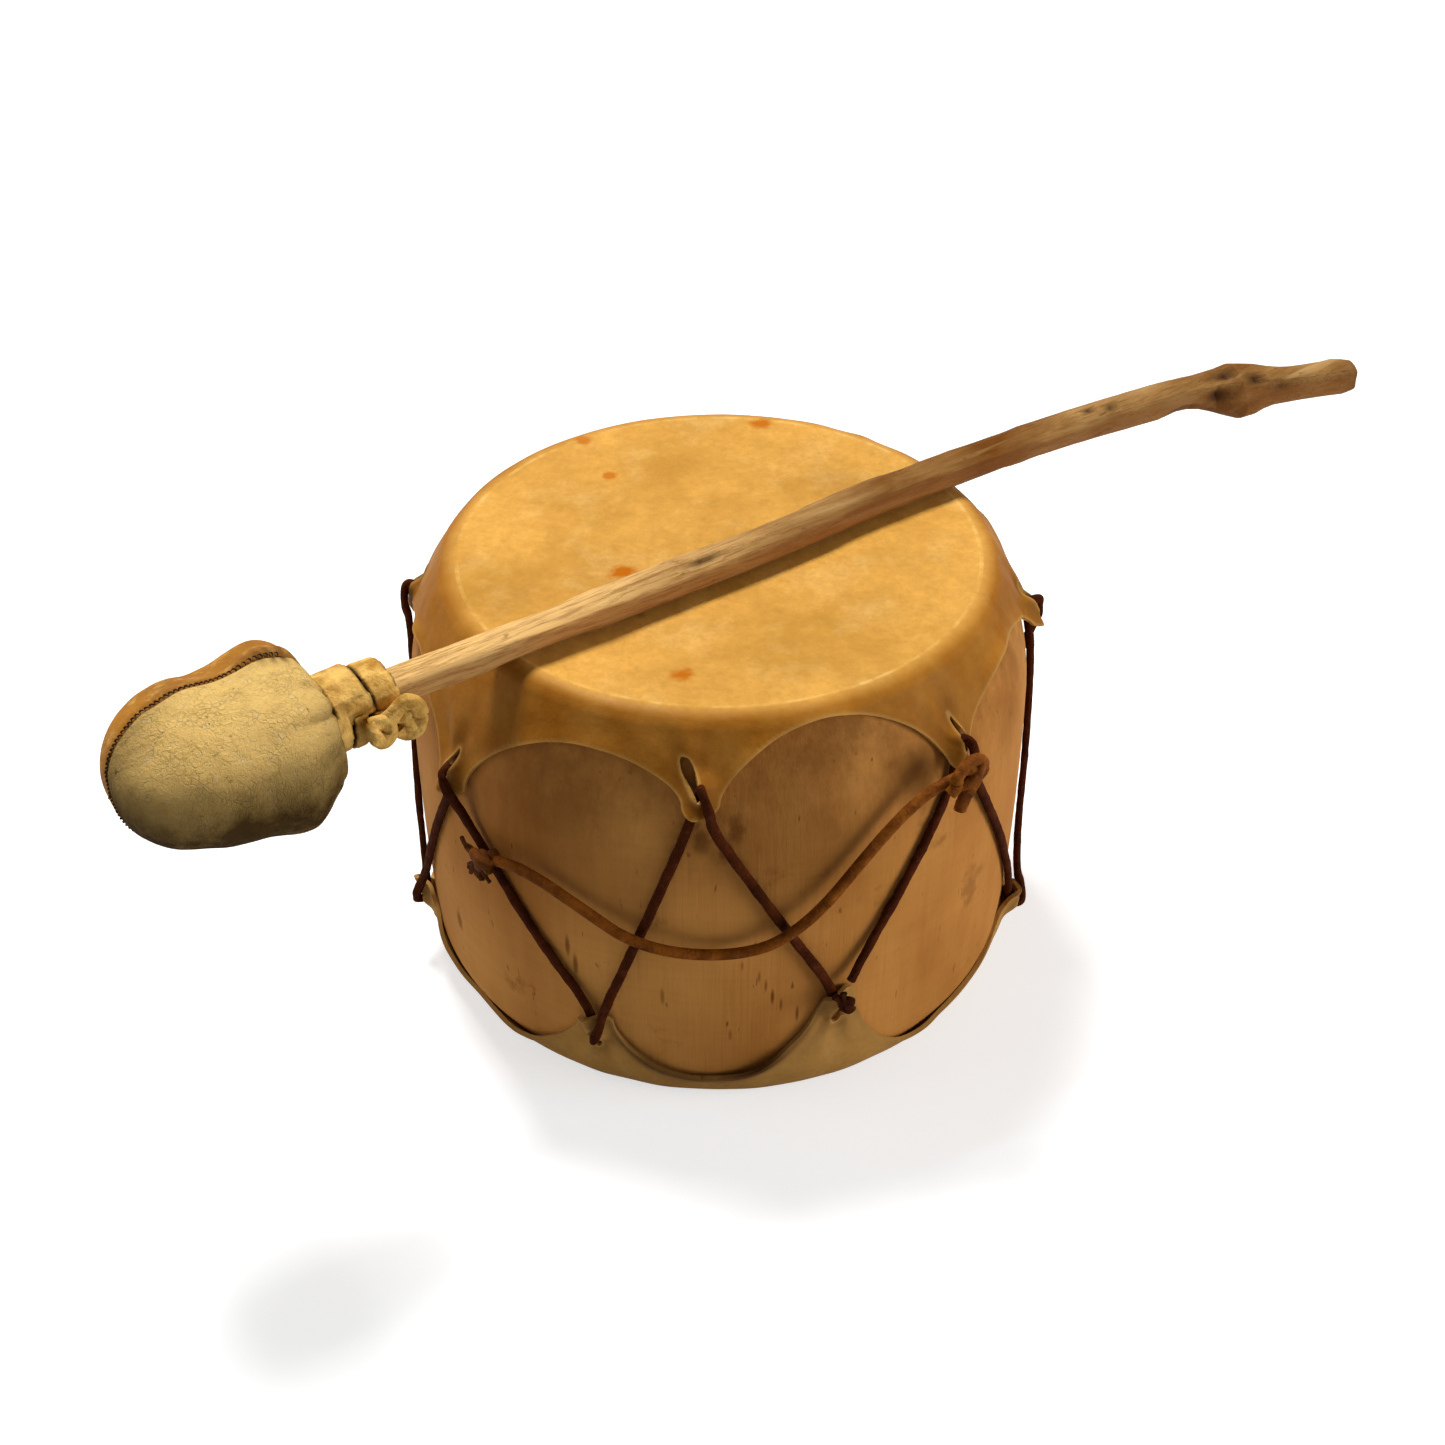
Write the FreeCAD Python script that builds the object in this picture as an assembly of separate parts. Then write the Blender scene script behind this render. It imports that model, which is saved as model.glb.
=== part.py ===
import FreeCAD, Part
import math
import os

# Rawhide hand drum with its padded beater lying across the top head.
# The origin is the centre of the flat underside, +Z is up and the front is -Y.
# Every length is in millimetres. Angles are degrees round the drum from the
# front, positive towards +X.

# Drum
drum_diameter = 200.0
drum_height = 146.0
wood_wall = 18.0
hide_thickness = 1.4
hide_seat_gap = 0.1
cut_overrun = 12.0
corner_reach_share = 0.45

# Tabs of the two heads and the slits that the lace goes through
tab_width = 14.0
tab_tip_round = 4.0
slit_bar = 5.0
slit_length = 11.0
slit_width = 3.2

# Lace that pulls the two heads together
lace_diameter = 3.4
lace_fit = 0.12
lace_rise = 0.6
lace_side_step = 3.4
lace_tab_reach = 3.0
lace_turn_rise = 3.4
lace_leave_drop = 1.8
lace_knot_radius = 4.2
lace_knot_gap = 0.25
lace_end_spacing = 2.3
lace_tail_length = 9.0
lace_tail_forward = 1.0

# Cord that the drum is carried by
carry_diameter = 3.4
carry_left_knot_radius = 5.0
carry_right_knot_radius = 6.0
carry_tail_length = 11.0
carry_left_lean = 0.4
carry_left_tail_slope = -1.2
carry_right_lean = -0.5
carry_right_tail_slope = -0.5
tail_taper_share = 0.7

# Beater
beater_turn = 35.3
beater_aside = 11.9
beater_neck_reach = 115.5
beater_rest_gap = 0.3
stick_diameter = 11.4
stick_length = 350.0
stick_depth_in_pad = 62.0
stick_fit = 0.1
pad_length = 70.4
pad_width = 59.6
pad_height = 44.8
pad_centre_back = 51.7
seam_lean = 17.0
leather_thickness = 1.5
stuffing_gap = 0.1
neck_sleeve_length = 4.0
neck_sleeve_flare = 1.6
binding_diameter = 4.6
binding_spacing = 0.6
binding_turns = 3
binding_gap = 0.12
binding_start_back = 15.0
binding_knot_radius = 4.8
binding_tail_length = 12.0
binding_knot_drop_share = 0.8
stitch_diameter = 1.0
stitch_length = 5.0
stitch_lift = 0.1
stitch_lean = 35.0
stitch_count = 34
stitch_clear_angle = 38.0

# Side line of the covered drum, from the rim of the top head down to the
# underside: shares of the drum's radius and of its height. Every other point
# ends an arc.
side_line_shares = [
    (0.800, 1.000),
    (0.846, 0.994),
    (0.876, 0.971),
    (0.942, 0.881),
    (0.994, 0.716),
    (1.000, 0.489),
    (0.988, 0.150),
    (0.973, 0.075),
    (0.934, 0.028),
    (0.888, 0.006),
    (0.836, 0.000),
]

# Tabs of the top head: angle, tip height as a share of the drum's height, and
# the angle and height share of the arch's crown between this tab and the next.
top_tab_shares = [
    (-100.0, 0.766, -76.0, 0.877),
    (-52.0, 0.688, -23.0, 0.922),
    (-3.0, 0.822, 20.0, 0.980),
    (45.5, 0.795, 68.0, 0.920),
    (92.0, 0.787, 119.0, 0.945),
    (146.0, 0.805, 174.0, 0.930),
    (203.0, 0.760, 231.0, 0.912),
]

# Tabs of the bottom head in the same order, with the lowest point of each arch.
bottom_tab_shares = [
    (-77.0, 0.205, -48.0, 0.062),
    (-22.0, 0.262, -2.0, 0.107),
    (21.0, 0.342, 39.0, 0.082),
    (76.0, 0.200, 97.0, 0.075),
    (118.0, 0.245, 146.0, 0.082),
    (174.0, 0.270, 203.0, 0.075),
    (232.0, 0.240, 257.0, 0.068),
]

# Tab at which the lace is tied, counted along the drum's tabs from the left
tied_tab = 5

# Route of the carry cord, chosen by hand: angle, distance from the drum's
# axis, height. It starts in the left knot and ends in the right one.
carry_route = [
    (-42.0, 103.4, 84.5),
    (-37.0, 104.2, 89.6),
    (-31.0, 102.8, 88.4),
    (-25.0, 102.6, 84.0),
    (-20.0, 104.5, 79.6),
    (-16.2, 107.4, 76.2),
    (-11.2, 107.4, 73.3),
    (-6.0, 103.5, 71.5),
    (0.0, 102.4, 71.7),
    (5.0, 104.2, 73.6),
    (9.2, 107.4, 76.6),
    (13.6, 107.4, 82.0),
    (18.0, 104.0, 89.2),
    (23.0, 102.6, 99.4),
    (28.0, 102.6, 108.6),
    (33.5, 102.8, 115.8),
    (39.5, 104.6, 119.6),
    (45.8, 107.4, 118.2),
]

# Stations of the stick from the neck to its far end: shares of the stick's
# length for the place, and of its diameter for the sideways bend and the width.
stick_station_shares = [
    (0.000, 0.00, 0.97),
    (0.150, -0.10, 0.98),
    (0.330, -0.12, 1.00),
    (0.520, 0.02, 1.00),
    (0.670, -0.20, 1.00),
    (0.765, -0.49, 1.04),
    (0.850, -0.90, 1.12),
    (0.886, -1.28, 1.42),
    (0.930, -1.98, 1.14),
    (0.970, -2.42, 1.06),
    (1.000, -2.70, 1.16),
]


def vector(x, y, z):
    """Short form of a point or direction."""
    return FreeCAD.Vector(x, y, z)


up = vector(0, 0, 1)


def outward(angle):
    """Unit direction away from the drum's axis at an angle."""
    turn = math.radians(angle)
    return vector(math.sin(turn), -math.cos(turn), 0)


def sideways(angle):
    """Unit direction along the drum's side, towards larger angles."""
    turn = math.radians(angle)
    return vector(math.cos(turn), math.sin(turn), 0)


def side_points(depth):
    """Points of the drum's side line, moved inwards by a depth."""
    radius = drum_diameter / 2
    points = [vector(r * radius, 0, z * drum_height) for r, z in side_line_shares]
    ends = [vector(0, 0, drum_height)] + points + [vector(0, 0, 0)]
    moved = []
    for before, here, after in zip(ends, ends[1:], ends[2:]):
        along = (after - before).normalize()
        moved.append(here - vector(-along.z, 0, along.x) * depth)
    return moved


def side_arcs(depth):
    """Arcs of the drum's side line at a depth, from the top down."""
    points = side_points(depth)
    starts = range(0, len(points) - 1, 2)
    return [Part.Arc(points[i], points[i + 1], points[i + 2]).toShape() for i in starts]


def barrel(depth):
    """Solid of the whole drum's shape at a depth below its outer surface."""
    points = side_points(depth)
    top = vector(0, 0, points[0].z)
    bottom = vector(0, 0, points[-1].z)
    edges = [Part.makeLine(top, points[0])]
    edges += side_arcs(depth)
    edges += [Part.makeLine(points[-1], bottom), Part.makeLine(bottom, top)]
    face = Part.Face(Part.Wire(edges))
    return face.revolve(vector(0, 0, 0), up, 360)


wood_arcs = side_arcs(hide_thickness + hide_seat_gap)


def on_wood(angle, height, lift, across=0):
    """Point above the bare wood by a lift, moved across along the side."""
    for arc in wood_arcs:
        if arc.BoundBox.ZMin <= height <= arc.BoundBox.ZMax:
            break
    centre = arc.Curve.Center
    radius = centre.x + math.sqrt(arc.Curve.Radius ** 2 - (height - centre.z) ** 2)
    lean = (vector(radius, 0, height) - centre).normalize()
    turned = angle + math.degrees(across / radius)
    return outward(turned) * (radius + lean.x * lift) + up * (height + lean.z * lift)


def tangent_arc_path(points):
    """Wire of straight runs joined by arcs, each as large as its runs allow."""
    edges = []
    radii = []
    start = points[0]
    for before, corner, after in zip(points, points[1:], points[2:]):
        back = before - corner
        ahead = after - corner
        reach = corner_reach_share * min(back.Length, ahead.Length)
        back.normalize()
        ahead.normalize()
        half_turn = (math.pi - back.getAngle(ahead)) / 2
        radius = reach / math.tan(half_turn)
        radii.append(radius)
        first = corner + back * reach
        last = corner + ahead * reach
        middle_way = (back + ahead).normalize()
        middle = corner + middle_way * (radius / math.cos(half_turn) - radius)
        edges.append(Part.LineSegment(start, first).toShape())
        edges.append(Part.Arc(first, middle, last).toShape())
        start = last
    edges.append(Part.LineSegment(start, points[-1]).toShape())
    return Part.Wire(edges), radii


def tube_on(path, diameter):
    """Round tube along a wire."""
    start = path.OrderedVertexes[0].Point
    first_edge = path.OrderedEdges[0]
    along = first_edge.tangentAt(first_edge.FirstParameter)
    ring = Part.Wire(Part.makeCircle(diameter / 2, start, along))
    return path.makePipeShell([ring], True, False)


def tube(points, diameter):
    """Round tube along straight runs joined by arcs."""
    path, _ = tangent_arc_path(points)
    return tube_on(path, diameter)


def quarter_oval(start, corner, end):
    """Quarter of an ellipse between two points, tangent to the corner's sides."""
    curve = Part.BezierCurve()
    curve.setPoles([start, corner, end])
    curve.setWeight(2, math.sqrt(0.5))
    return curve.toShape()


def gap_prism(left, right, rise, away):
    """Solid of the opening between two tabs, out to beyond the drum's side.

    Rise is 1 for the top head and -1 for the bottom one, and away is the
    height at which the prism ends, past every tab's tip.
    """
    left_angle, left_tip, crown_angle, crown_height = left
    right_angle, right_tip = right[0], right[1]
    middle_angle = (left_angle + right_angle) / 2
    reach = drum_diameter / 2
    half_tab = tab_width / 2

    def flat(angle, height, step=0):
        offset = reach * math.sin(math.radians(angle - middle_angle)) + step
        return sideways(middle_angle) * offset + up * height

    left_top = left_tip + rise * tab_tip_round
    right_top = right_tip + rise * tab_tip_round
    corners = [
        (flat(left_angle, left_tip), flat(left_angle, left_tip, half_tab)),
        (flat(left_angle, left_top, half_tab), flat(left_angle, crown_height, half_tab)),
        (flat(crown_angle, crown_height), flat(right_angle, crown_height, -half_tab)),
        (flat(right_angle, right_top, -half_tab), flat(right_angle, right_tip, -half_tab)),
    ]
    right_end = flat(right_angle, right_tip)
    ends = [start for start, corner in corners[1:]] + [right_end]
    edges = [quarter_oval(start, corner, end) for (start, corner), end in zip(corners, ends)]
    right_away = flat(right_angle, away)
    left_away = flat(left_angle, away)
    edges.append(Part.makeLine(right_end, right_away))
    edges.append(Part.makeLine(right_away, left_away))
    edges.append(Part.makeLine(left_away, corners[0][0]))
    face = Part.Face(Part.Wire(edges))
    return face.extrude(outward(middle_angle) * (reach + cut_overrun))


def slit_prism(angle, tip, rise):
    """Solid that opens the upright slit of one tab."""
    near = tip + rise * (slit_bar + slit_width / 2)
    far = tip + rise * (slit_bar + slit_length - slit_width / 2)
    low, high = sorted((near, far))
    side = sideways(angle) * (slit_width / 2)
    end = up * (slit_width / 2)
    base = outward(angle) * (drum_diameter / 4)
    bottom = base + up * low
    top = base + up * high
    edges = [
        Part.makeLine(bottom + side, top + side),
        Part.Arc(top + side, top + end, top - side).toShape(),
        Part.makeLine(top - side, bottom - side),
        Part.Arc(bottom - side, bottom - end, bottom + side).toShape(),
    ]
    face = Part.Face(Part.Wire(edges))
    return face.extrude(outward(angle) * (drum_diameter / 4 + cut_overrun))


def tab_table(shares, rise):
    """Tabs with real heights: angle, tip, crown angle, crown height, rise."""
    return [(a, t * drum_height, c, h * drum_height, rise) for a, t, c, h in shares]


top_tabs = tab_table(top_tab_shares, 1)
bottom_tabs = tab_table(bottom_tab_shares, -1)


def under_point(tab):
    """Where the lace slips under a tab's edge."""
    lift = lace_diameter / 2 + lace_rise
    return on_wood(tab[0], tab[1] - tab[4] * lace_tab_reach, lift, -lace_side_step)


def slit_points(tab):
    """The lace's two corners in a tab's slit, one under the hide and one over it."""
    low = lace_diameter / 2 + lace_rise
    high = low + lace_diameter + hide_thickness + 4 * lace_fit
    height = tab[1] + tab[4] * (slit_bar + lace_turn_rise)
    return [on_wood(tab[0], height, low), on_wood(tab[0], height, high)]


def over_point(tab):
    """Where the lace leaves a tab's edge after it has come over the hide."""
    lift = lace_diameter + lace_diameter / 2 + lace_rise + hide_thickness - lace_leave_drop
    return on_wood(tab[0], tab[1] - tab[4] * lace_tab_reach, lift, lace_side_step)


def strand_points(start, end):
    """Two points of the lace's strand on the bare wood between two tabs."""
    start_height = start[1] - start[4] * lace_tab_reach
    end_height = end[1] - end[4] * lace_tab_reach
    points = []
    for share in (1 / 3, 2 / 3):
        angle = start[0] + (end[0] - start[0]) * share
        height = start_height + (end_height - start_height) * share
        across = lace_side_step * (1 - 2 * share)
        points.append(on_wood(angle, height, lace_diameter / 2 + lace_rise, across))
    return points


def knot_place(tab):
    """Centre of the knot that ties the lace, clear of the hide over the lace."""
    lace_top = lace_rise + lace_diameter + lace_fit
    lift = lace_top + hide_thickness + lace_knot_gap + lace_knot_radius
    return on_wood(tab[0], tab[1] + tab[4] * slit_bar / 2, lift)


def lacing_order():
    """Every tab in the order in which the lace reaches it, the tied one twice."""
    tabs = sorted(top_tabs + bottom_tabs)
    later = [(tab[0] + 360,) + tab[1:] for tab in tabs[:tied_tab + 1]]
    return tabs[tied_tab:] + later


def lacing_points():
    """Route of the lace, from its knot once round the drum and back to it."""
    order = lacing_order()
    apart = sideways(order[0][0]) * lace_end_spacing
    points = [knot_place(order[0]) + apart, over_point(order[0])]
    for start, end in zip(order, order[1:]):
        points += strand_points(start, end)
        points.append(under_point(end))
        points += slit_points(end)
        points.append(over_point(end))
    points[-1] = knot_place(order[-1]) - apart
    return points


def tab_stretches():
    """The lace's points near each tab, from the strand before to the one after."""
    order = lacing_order()
    closed = [order[-2]] + order
    stretches = []
    for before, tab, after in zip(closed, closed[1:], closed[2:]):
        coming = strand_points(before, tab)[1]
        if before[0] > tab[0]:
            coming = strand_points((before[0] - 360,) + before[1:], tab)[1]
        going = strand_points(tab, after)[0]
        route = [coming, under_point(tab)] + slit_points(tab) + [over_point(tab), going]
        stretches.append((tab, route))
    return stretches


def sleeve(route):
    """Solid that the hide swells to where the lace lies under a tab."""
    diameter = lace_diameter + 2 * lace_fit + 2 * hide_thickness
    ball = Part.makeSphere(diameter / 2, route[2])
    return tube(route[:3], diameter).fuse(ball)


def head(tabs, rise):
    """One rawhide head: flat skin, turned rim and a skirt cut into tabs."""
    tips = [tab[1] for tab in tabs]
    low = min(tips) if rise > 0 else -cut_overrun
    high = drum_height + cut_overrun if rise > 0 else max(tips)
    away = low - cut_overrun if rise > 0 else high + cut_overrun
    stretches = [(tab, route) for tab, route in tab_stretches() if tab[4] == rise]
    size = drum_diameter + 4 * cut_overrun
    band = Part.makeBox(size, size, high - low, vector(-size / 2, -size / 2, low))
    skin = barrel(0).common(band)
    for tab, route in stretches:
        skin = skin.fuse(sleeve(route).common(band))
    following = tabs[1:] + [(tabs[0][0] + 360,) + tabs[0][1:]]
    cutters = [barrel(hide_thickness)]
    for tab, after in zip(tabs, following):
        cutters.append(gap_prism(tab[:4], after[:2], rise, away))
        cutters.append(slit_prism(tab[0], tab[1], rise))
    for tab, route in stretches:
        tunnel = tube(route, lace_diameter + 2 * lace_fit)
        cutters.append(tunnel)
        cutters.append(tunnel.translated(outward(tab[0]) * -lace_rise))
    for cutter in cutters:
        skin = skin.cut(cutter)
    return skin


def log_shell():
    """Hollowed log, its ends rounded over for the hide to turn."""
    bore = drum_diameter / 2 - hide_thickness - hide_seat_gap - wood_wall
    hollow = Part.makeCylinder(bore, drum_height)
    return barrel(hide_thickness + hide_seat_gap).cut(hollow)


def knot(centre, radius, diameter, first_axis, second_axis):
    """Knot of two crossing rings of cord round a ball that fills most of them."""
    ring_radius = radius - diameter / 2
    first = Part.makeTorus(ring_radius, diameter / 2, centre, first_axis)
    second = Part.makeTorus(ring_radius, diameter / 2, centre, second_axis)
    ball = Part.makeSphere(radius - diameter / 4, centre)
    return ball.fuse(first).fuse(second)


def tail(start, direction, length, diameter):
    """Loose end of a cord, tapering a little to its cut end."""
    return Part.makeCone(diameter / 2, diameter * tail_taper_share / 2, length, start, direction)


def lacing_knot():
    """Knot over the tied tab with the lace's two short ends."""
    tab = lacing_order()[0]
    centre = knot_place(tab)
    lump = knot(centre, lace_knot_radius, lace_diameter, outward(tab[0]) + up, sideways(tab[0]))
    start = centre + outward(tab[0]) * lace_tail_forward
    left = tail(start, up * 0.5 - sideways(tab[0]), lace_tail_length, lace_diameter)
    right = tail(start, sideways(tab[0]) - up, lace_tail_length, lace_diameter)
    return lump.fuse(left).fuse(right)


def place_on_route(angle, distance, height):
    """Point of the carry cord's route."""
    return outward(angle) * distance + up * height


def carry_knot(place, radius, lean, tail_way, top_head):
    """Knot of the carry cord round the lace, with its loose end."""
    angle = place[0]
    centre = place_on_route(*place)
    across = sideways(angle)
    lump = knot(centre, radius, carry_diameter, across * lean + up, across - up * lean)
    way = across * tail_way - up
    end = tail(centre, way, carry_tail_length, carry_diameter)
    return lump.fuse(end).cut(top_head)


def in_beater(shape):
    """Shape moved from the beater's own frame to where the beater lies.

    The beater's frame has its origin at the neck, +X along the stick to its
    far end and +Z up.
    """
    along = outward(90 + beater_turn)
    aside = outward(180 + beater_turn)
    height = drum_height + beater_rest_gap + stick_diameter / 2
    neck = up * height - along * beater_neck_reach - aside * beater_aside
    turn = FreeCAD.Rotation(up, beater_turn)
    moved = shape.copy()
    moved.Placement = FreeCAD.Placement(neck, turn)
    return moved


def stick_stations():
    """Centre and radius of the stick's rings from the neck to the far end."""
    stations = []
    for place, bend, width in stick_station_shares:
        centre = vector(place * stick_length, bend * stick_diameter, 0)
        stations.append((centre, width * stick_diameter / 2))
    return stations


def stick_ring(centre, radius, along):
    """Ring of the stick square to its length, its seam always on top."""
    ring = Part.Wire(Part.makeCircle(radius))
    ring.Placement = FreeCAD.Placement(centre, FreeCAD.Rotation(up, vector(0, 1, 0), along, "ZXY"))
    return ring


def beater_stick():
    """Peeled branch with a burl near its far end, straight inside the pad."""
    stations = stick_stations()
    centres = [centre for centre, radius in stations]
    start = centres[0] - (centres[1] - centres[0])
    end = centres[-1] + (centres[-1] - centres[-2])
    rings = []
    for before, (centre, radius), after in zip([start] + centres, stations, centres[1:] + [end]):
        rings.append(stick_ring(centre, radius, after - before))
    inner = stick_ring(vector(-stick_depth_in_pad, 0, 0), stations[0][1], vector(1, 0, 0))
    return Part.makeLoft([inner] + rings, True, True)


def pad(depth):
    """Oval body of the pad, less a depth all round, its own seam line at the far end."""
    half_length = pad_length / 2 - depth
    ball = Part.makeSphere(half_length)
    ball.rotate(vector(0, 0, 0), up, 180)
    ball.rotate(vector(0, 0, 0), vector(1, 0, 0), 90)
    stretch = FreeCAD.Matrix()
    stretch.A22 = (pad_width / 2 - depth) / half_length
    stretch.A33 = (pad_height / 2 - depth) / half_length
    return ball.transformGeometry(stretch).translated(vector(-pad_centre_back, 0, 0))


def stick_bore():
    """Room for the stick inside the pad and its sleeve."""
    radius = stick_diameter / 2 + stick_fit
    length = stick_depth_in_pad + neck_sleeve_length + cut_overrun
    start = vector(-stick_depth_in_pad - stick_fit, 0, 0)
    return Part.makeCylinder(radius, length, start, vector(1, 0, 0))


def neck_sleeve():
    """Leather gathered round the stick under the binding, flared at its end."""
    radius = stick_diameter / 2 + stick_fit + leather_thickness
    inside = pad_centre_back - pad_length / 4
    length = inside + neck_sleeve_length
    straight = Part.makeCylinder(radius, length, vector(-inside, 0, 0), vector(1, 0, 0))
    end = vector(neck_sleeve_length, 0, 0)
    flare = Part.makeCone(radius, radius + neck_sleeve_flare, neck_sleeve_flare, end, vector(1, 0, 0))
    return straight.fuse(flare)


def cover_panel(side):
    """One of the two leather panels of the pad, side 1 at the back, -1 at the front."""
    size = pad_length + 2 * cut_overrun
    corner = vector(-pad_centre_back - size / 2, min(0, side * size), -size / 2)
    half = Part.makeBox(size + pad_centre_back, size, size, corner)
    half.rotate(vector(0, 0, 0), vector(1, 0, 0), -seam_lean)
    skin = pad(0).fuse(neck_sleeve()).cut(pad(leather_thickness)).cut(stick_bore())
    return skin.common(half)


def stuffing():
    """Stuffing of the pad round the stick's inner end."""
    return pad(leather_thickness + stuffing_gap).cut(stick_bore())


def seam_seat(turn):
    """Point and surface normal of the pad at a turn along its leaning seam."""
    lean = math.radians(seam_lean)
    reach = 1 / math.hypot(2 * math.sin(lean) / pad_width, 2 * math.cos(lean) / pad_height)
    side = vector(0, math.sin(lean), math.cos(lean)) * (reach * math.sin(turn))
    point = side + vector(pad_length / 2 * math.cos(turn), 0, 0)
    normal = vector(point.x / pad_length ** 2, point.y / pad_width ** 2, point.z / pad_height ** 2)
    return point - vector(pad_centre_back, 0, 0), normal.normalize()


def seam_stitches():
    """Slanted stitches over the edge seam that joins the two panels."""
    lean = math.radians(seam_lean)
    seam_side = vector(0, math.cos(lean), -math.sin(lean))
    slant = math.radians(stitch_lean)
    stitches = []
    for number in range(stitch_count):
        share = number / (stitch_count - 1)
        turn = math.radians(stitch_clear_angle + (360 - 2 * stitch_clear_angle) * share)
        seat, lift = seam_seat(turn)
        along = lift.cross(seam_side).normalize()
        across = along.cross(lift)
        way = across * math.cos(slant) + along * math.sin(slant)
        centre = seat + lift * (stitch_diameter / 2 + stitch_lift)
        start = centre - way * (stitch_length / 2)
        stitches.append(Part.makeCylinder(stitch_diameter / 2, stitch_length, start, way))
    return Part.makeCompound(stitches)


def binding_path():
    """Line of the binding: half turns round the neck with straight ends."""
    neck_radius = stick_diameter / 2 + stick_fit + leather_thickness
    radius = neck_radius + binding_gap + binding_diameter / 2
    pitch = binding_diameter + binding_spacing
    edges = []
    for half in range(2 * binding_turns):
        side = 1 if half % 2 == 0 else -1
        begin = vector(-binding_start_back + half * pitch / 2, 0, radius * side)
        finish = vector(begin.x + pitch / 2, 0, -radius * side)
        bulge = math.hypot(radius, pitch / 4)
        middle = vector(begin.x + pitch / 4, -bulge * side, 0)
        edges.append(Part.Arc(begin, middle, finish).toShape())
    begin = vector(-binding_start_back, 0, radius)
    finish = vector(-binding_start_back + binding_turns * pitch, 0, radius)
    run = vector(0, binding_diameter, 0)
    edges.insert(0, Part.makeLine(begin + run, begin))
    edges.append(Part.makeLine(finish, finish - run))
    return Part.Wire(edges)


def least_self_gap(path, diameter):
    """Least gap between stretches of a tube that lie further apart along it."""
    points = path.discretize(Number=60 * binding_turns)
    step = path.Length / (len(points) - 1)
    apart = math.ceil(3 * diameter / step)
    gaps = []
    for number, point in enumerate(points):
        gaps += [(point - other).Length for other in points[number + apart:]]
    return min(gaps) - diameter


def binding_knot():
    """Knot below the binding with the strap's loose end."""
    neck_radius = stick_diameter / 2 + stick_fit + leather_thickness
    drop = neck_radius + binding_gap + binding_diameter
    way = vector(0, -1, -1).normalize()
    pitch = binding_diameter + binding_spacing
    middle = vector(binding_turns * pitch / 2 - binding_start_back, 0, 0)
    centre = middle + way * (drop + binding_knot_radius * binding_knot_drop_share)
    lump = knot(centre, binding_knot_radius, binding_diameter, vector(1, 1, 0), vector(1, -1, 1))
    end = tail(centre, vector(1, -0.3, -0.4), binding_tail_length, binding_diameter)
    return lump.fuse(end)


def save(shape, name):
    """Write one node and say what it holds."""
    shape.exportStep("parts/" + name + ".step")
    print(name, "solids", len(shape.Solids), "valid", shape.isValid(), "volume", round(shape.Volume))


def main():
    """Build every node and write it."""
    os.makedirs("parts", exist_ok=True)
    top_head = head(top_tabs, 1)
    bottom_head = head(bottom_tabs, -1)
    save(log_shell(), "log_shell")
    save(top_head, "top_head")
    save(bottom_head, "bottom_head")

    lace_path, lace_radii = tangent_arc_path(lacing_points())
    lacing = tube_on(lace_path, lace_diameter)
    save(lacing, "lacing")
    section = math.pi * lace_diameter ** 2 / 4
    print("lacing length", round(lace_path.Length), "least radius", round(min(lace_radii), 2))
    print("lacing section times length", round(section * lace_path.Length))
    save(lacing_knot(), "lacing_knot")

    carry_path, carry_radii = tangent_arc_path([place_on_route(*place) for place in carry_route])
    carry_cord = tube_on(carry_path, carry_diameter)
    save(carry_cord, "carry_cord")
    section = math.pi * carry_diameter ** 2 / 4
    print("carry cord length", round(carry_path.Length, 1), "radii", [round(r) for r in carry_radii])
    print("carry cord section times length", round(section * carry_path.Length))
    left_form = (carry_left_knot_radius, carry_left_lean, carry_left_tail_slope)
    right_form = (carry_right_knot_radius, carry_right_lean, carry_right_tail_slope)
    save(carry_knot(carry_route[0], *left_form, top_head), "carry_knot_left")
    save(carry_knot(carry_route[-1], *right_form, top_head), "carry_knot_right")

    save(in_beater(beater_stick()), "beater_stick")
    save(in_beater(stuffing()), "pad_stuffing")
    save(in_beater(cover_panel(-1)), "pad_front_panel")
    save(in_beater(cover_panel(1)), "pad_back_panel")
    save(in_beater(seam_stitches()), "pad_seam_stitches")
    binding = binding_path()
    save(in_beater(tube_on(binding, binding_diameter)), "neck_binding")
    print("neck binding least gap to itself", round(least_self_gap(binding, binding_diameter), 2))
    save(in_beater(binding_knot()), "binding_knot")


main()
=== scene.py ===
import math
import random

import bpy
import numpy as np
from mathutils import Matrix, Vector, noise
from mathutils.bvhtree import BVHTree


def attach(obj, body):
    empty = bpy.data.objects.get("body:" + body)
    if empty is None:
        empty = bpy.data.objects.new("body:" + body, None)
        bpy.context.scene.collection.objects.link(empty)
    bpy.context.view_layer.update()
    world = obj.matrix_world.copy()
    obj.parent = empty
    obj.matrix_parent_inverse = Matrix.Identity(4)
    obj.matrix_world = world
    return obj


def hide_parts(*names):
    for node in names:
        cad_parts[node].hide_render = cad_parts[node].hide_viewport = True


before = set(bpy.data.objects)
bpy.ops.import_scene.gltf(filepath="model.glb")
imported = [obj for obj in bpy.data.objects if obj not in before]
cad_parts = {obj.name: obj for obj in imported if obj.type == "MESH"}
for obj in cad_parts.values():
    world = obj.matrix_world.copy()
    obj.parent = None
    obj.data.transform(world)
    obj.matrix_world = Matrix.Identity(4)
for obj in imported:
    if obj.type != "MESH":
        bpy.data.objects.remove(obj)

bl_info = {
    "name": "Rawhide hand drum",
    "version": (1, 0, 0),
    "blender": (4, 5, 0),
    "location": "View3D > Sidebar > Drum",
    "description": "Log drum with laced rawhide heads, a carry cord and a padded beater",
    "category": "Add Mesh",
}

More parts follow.
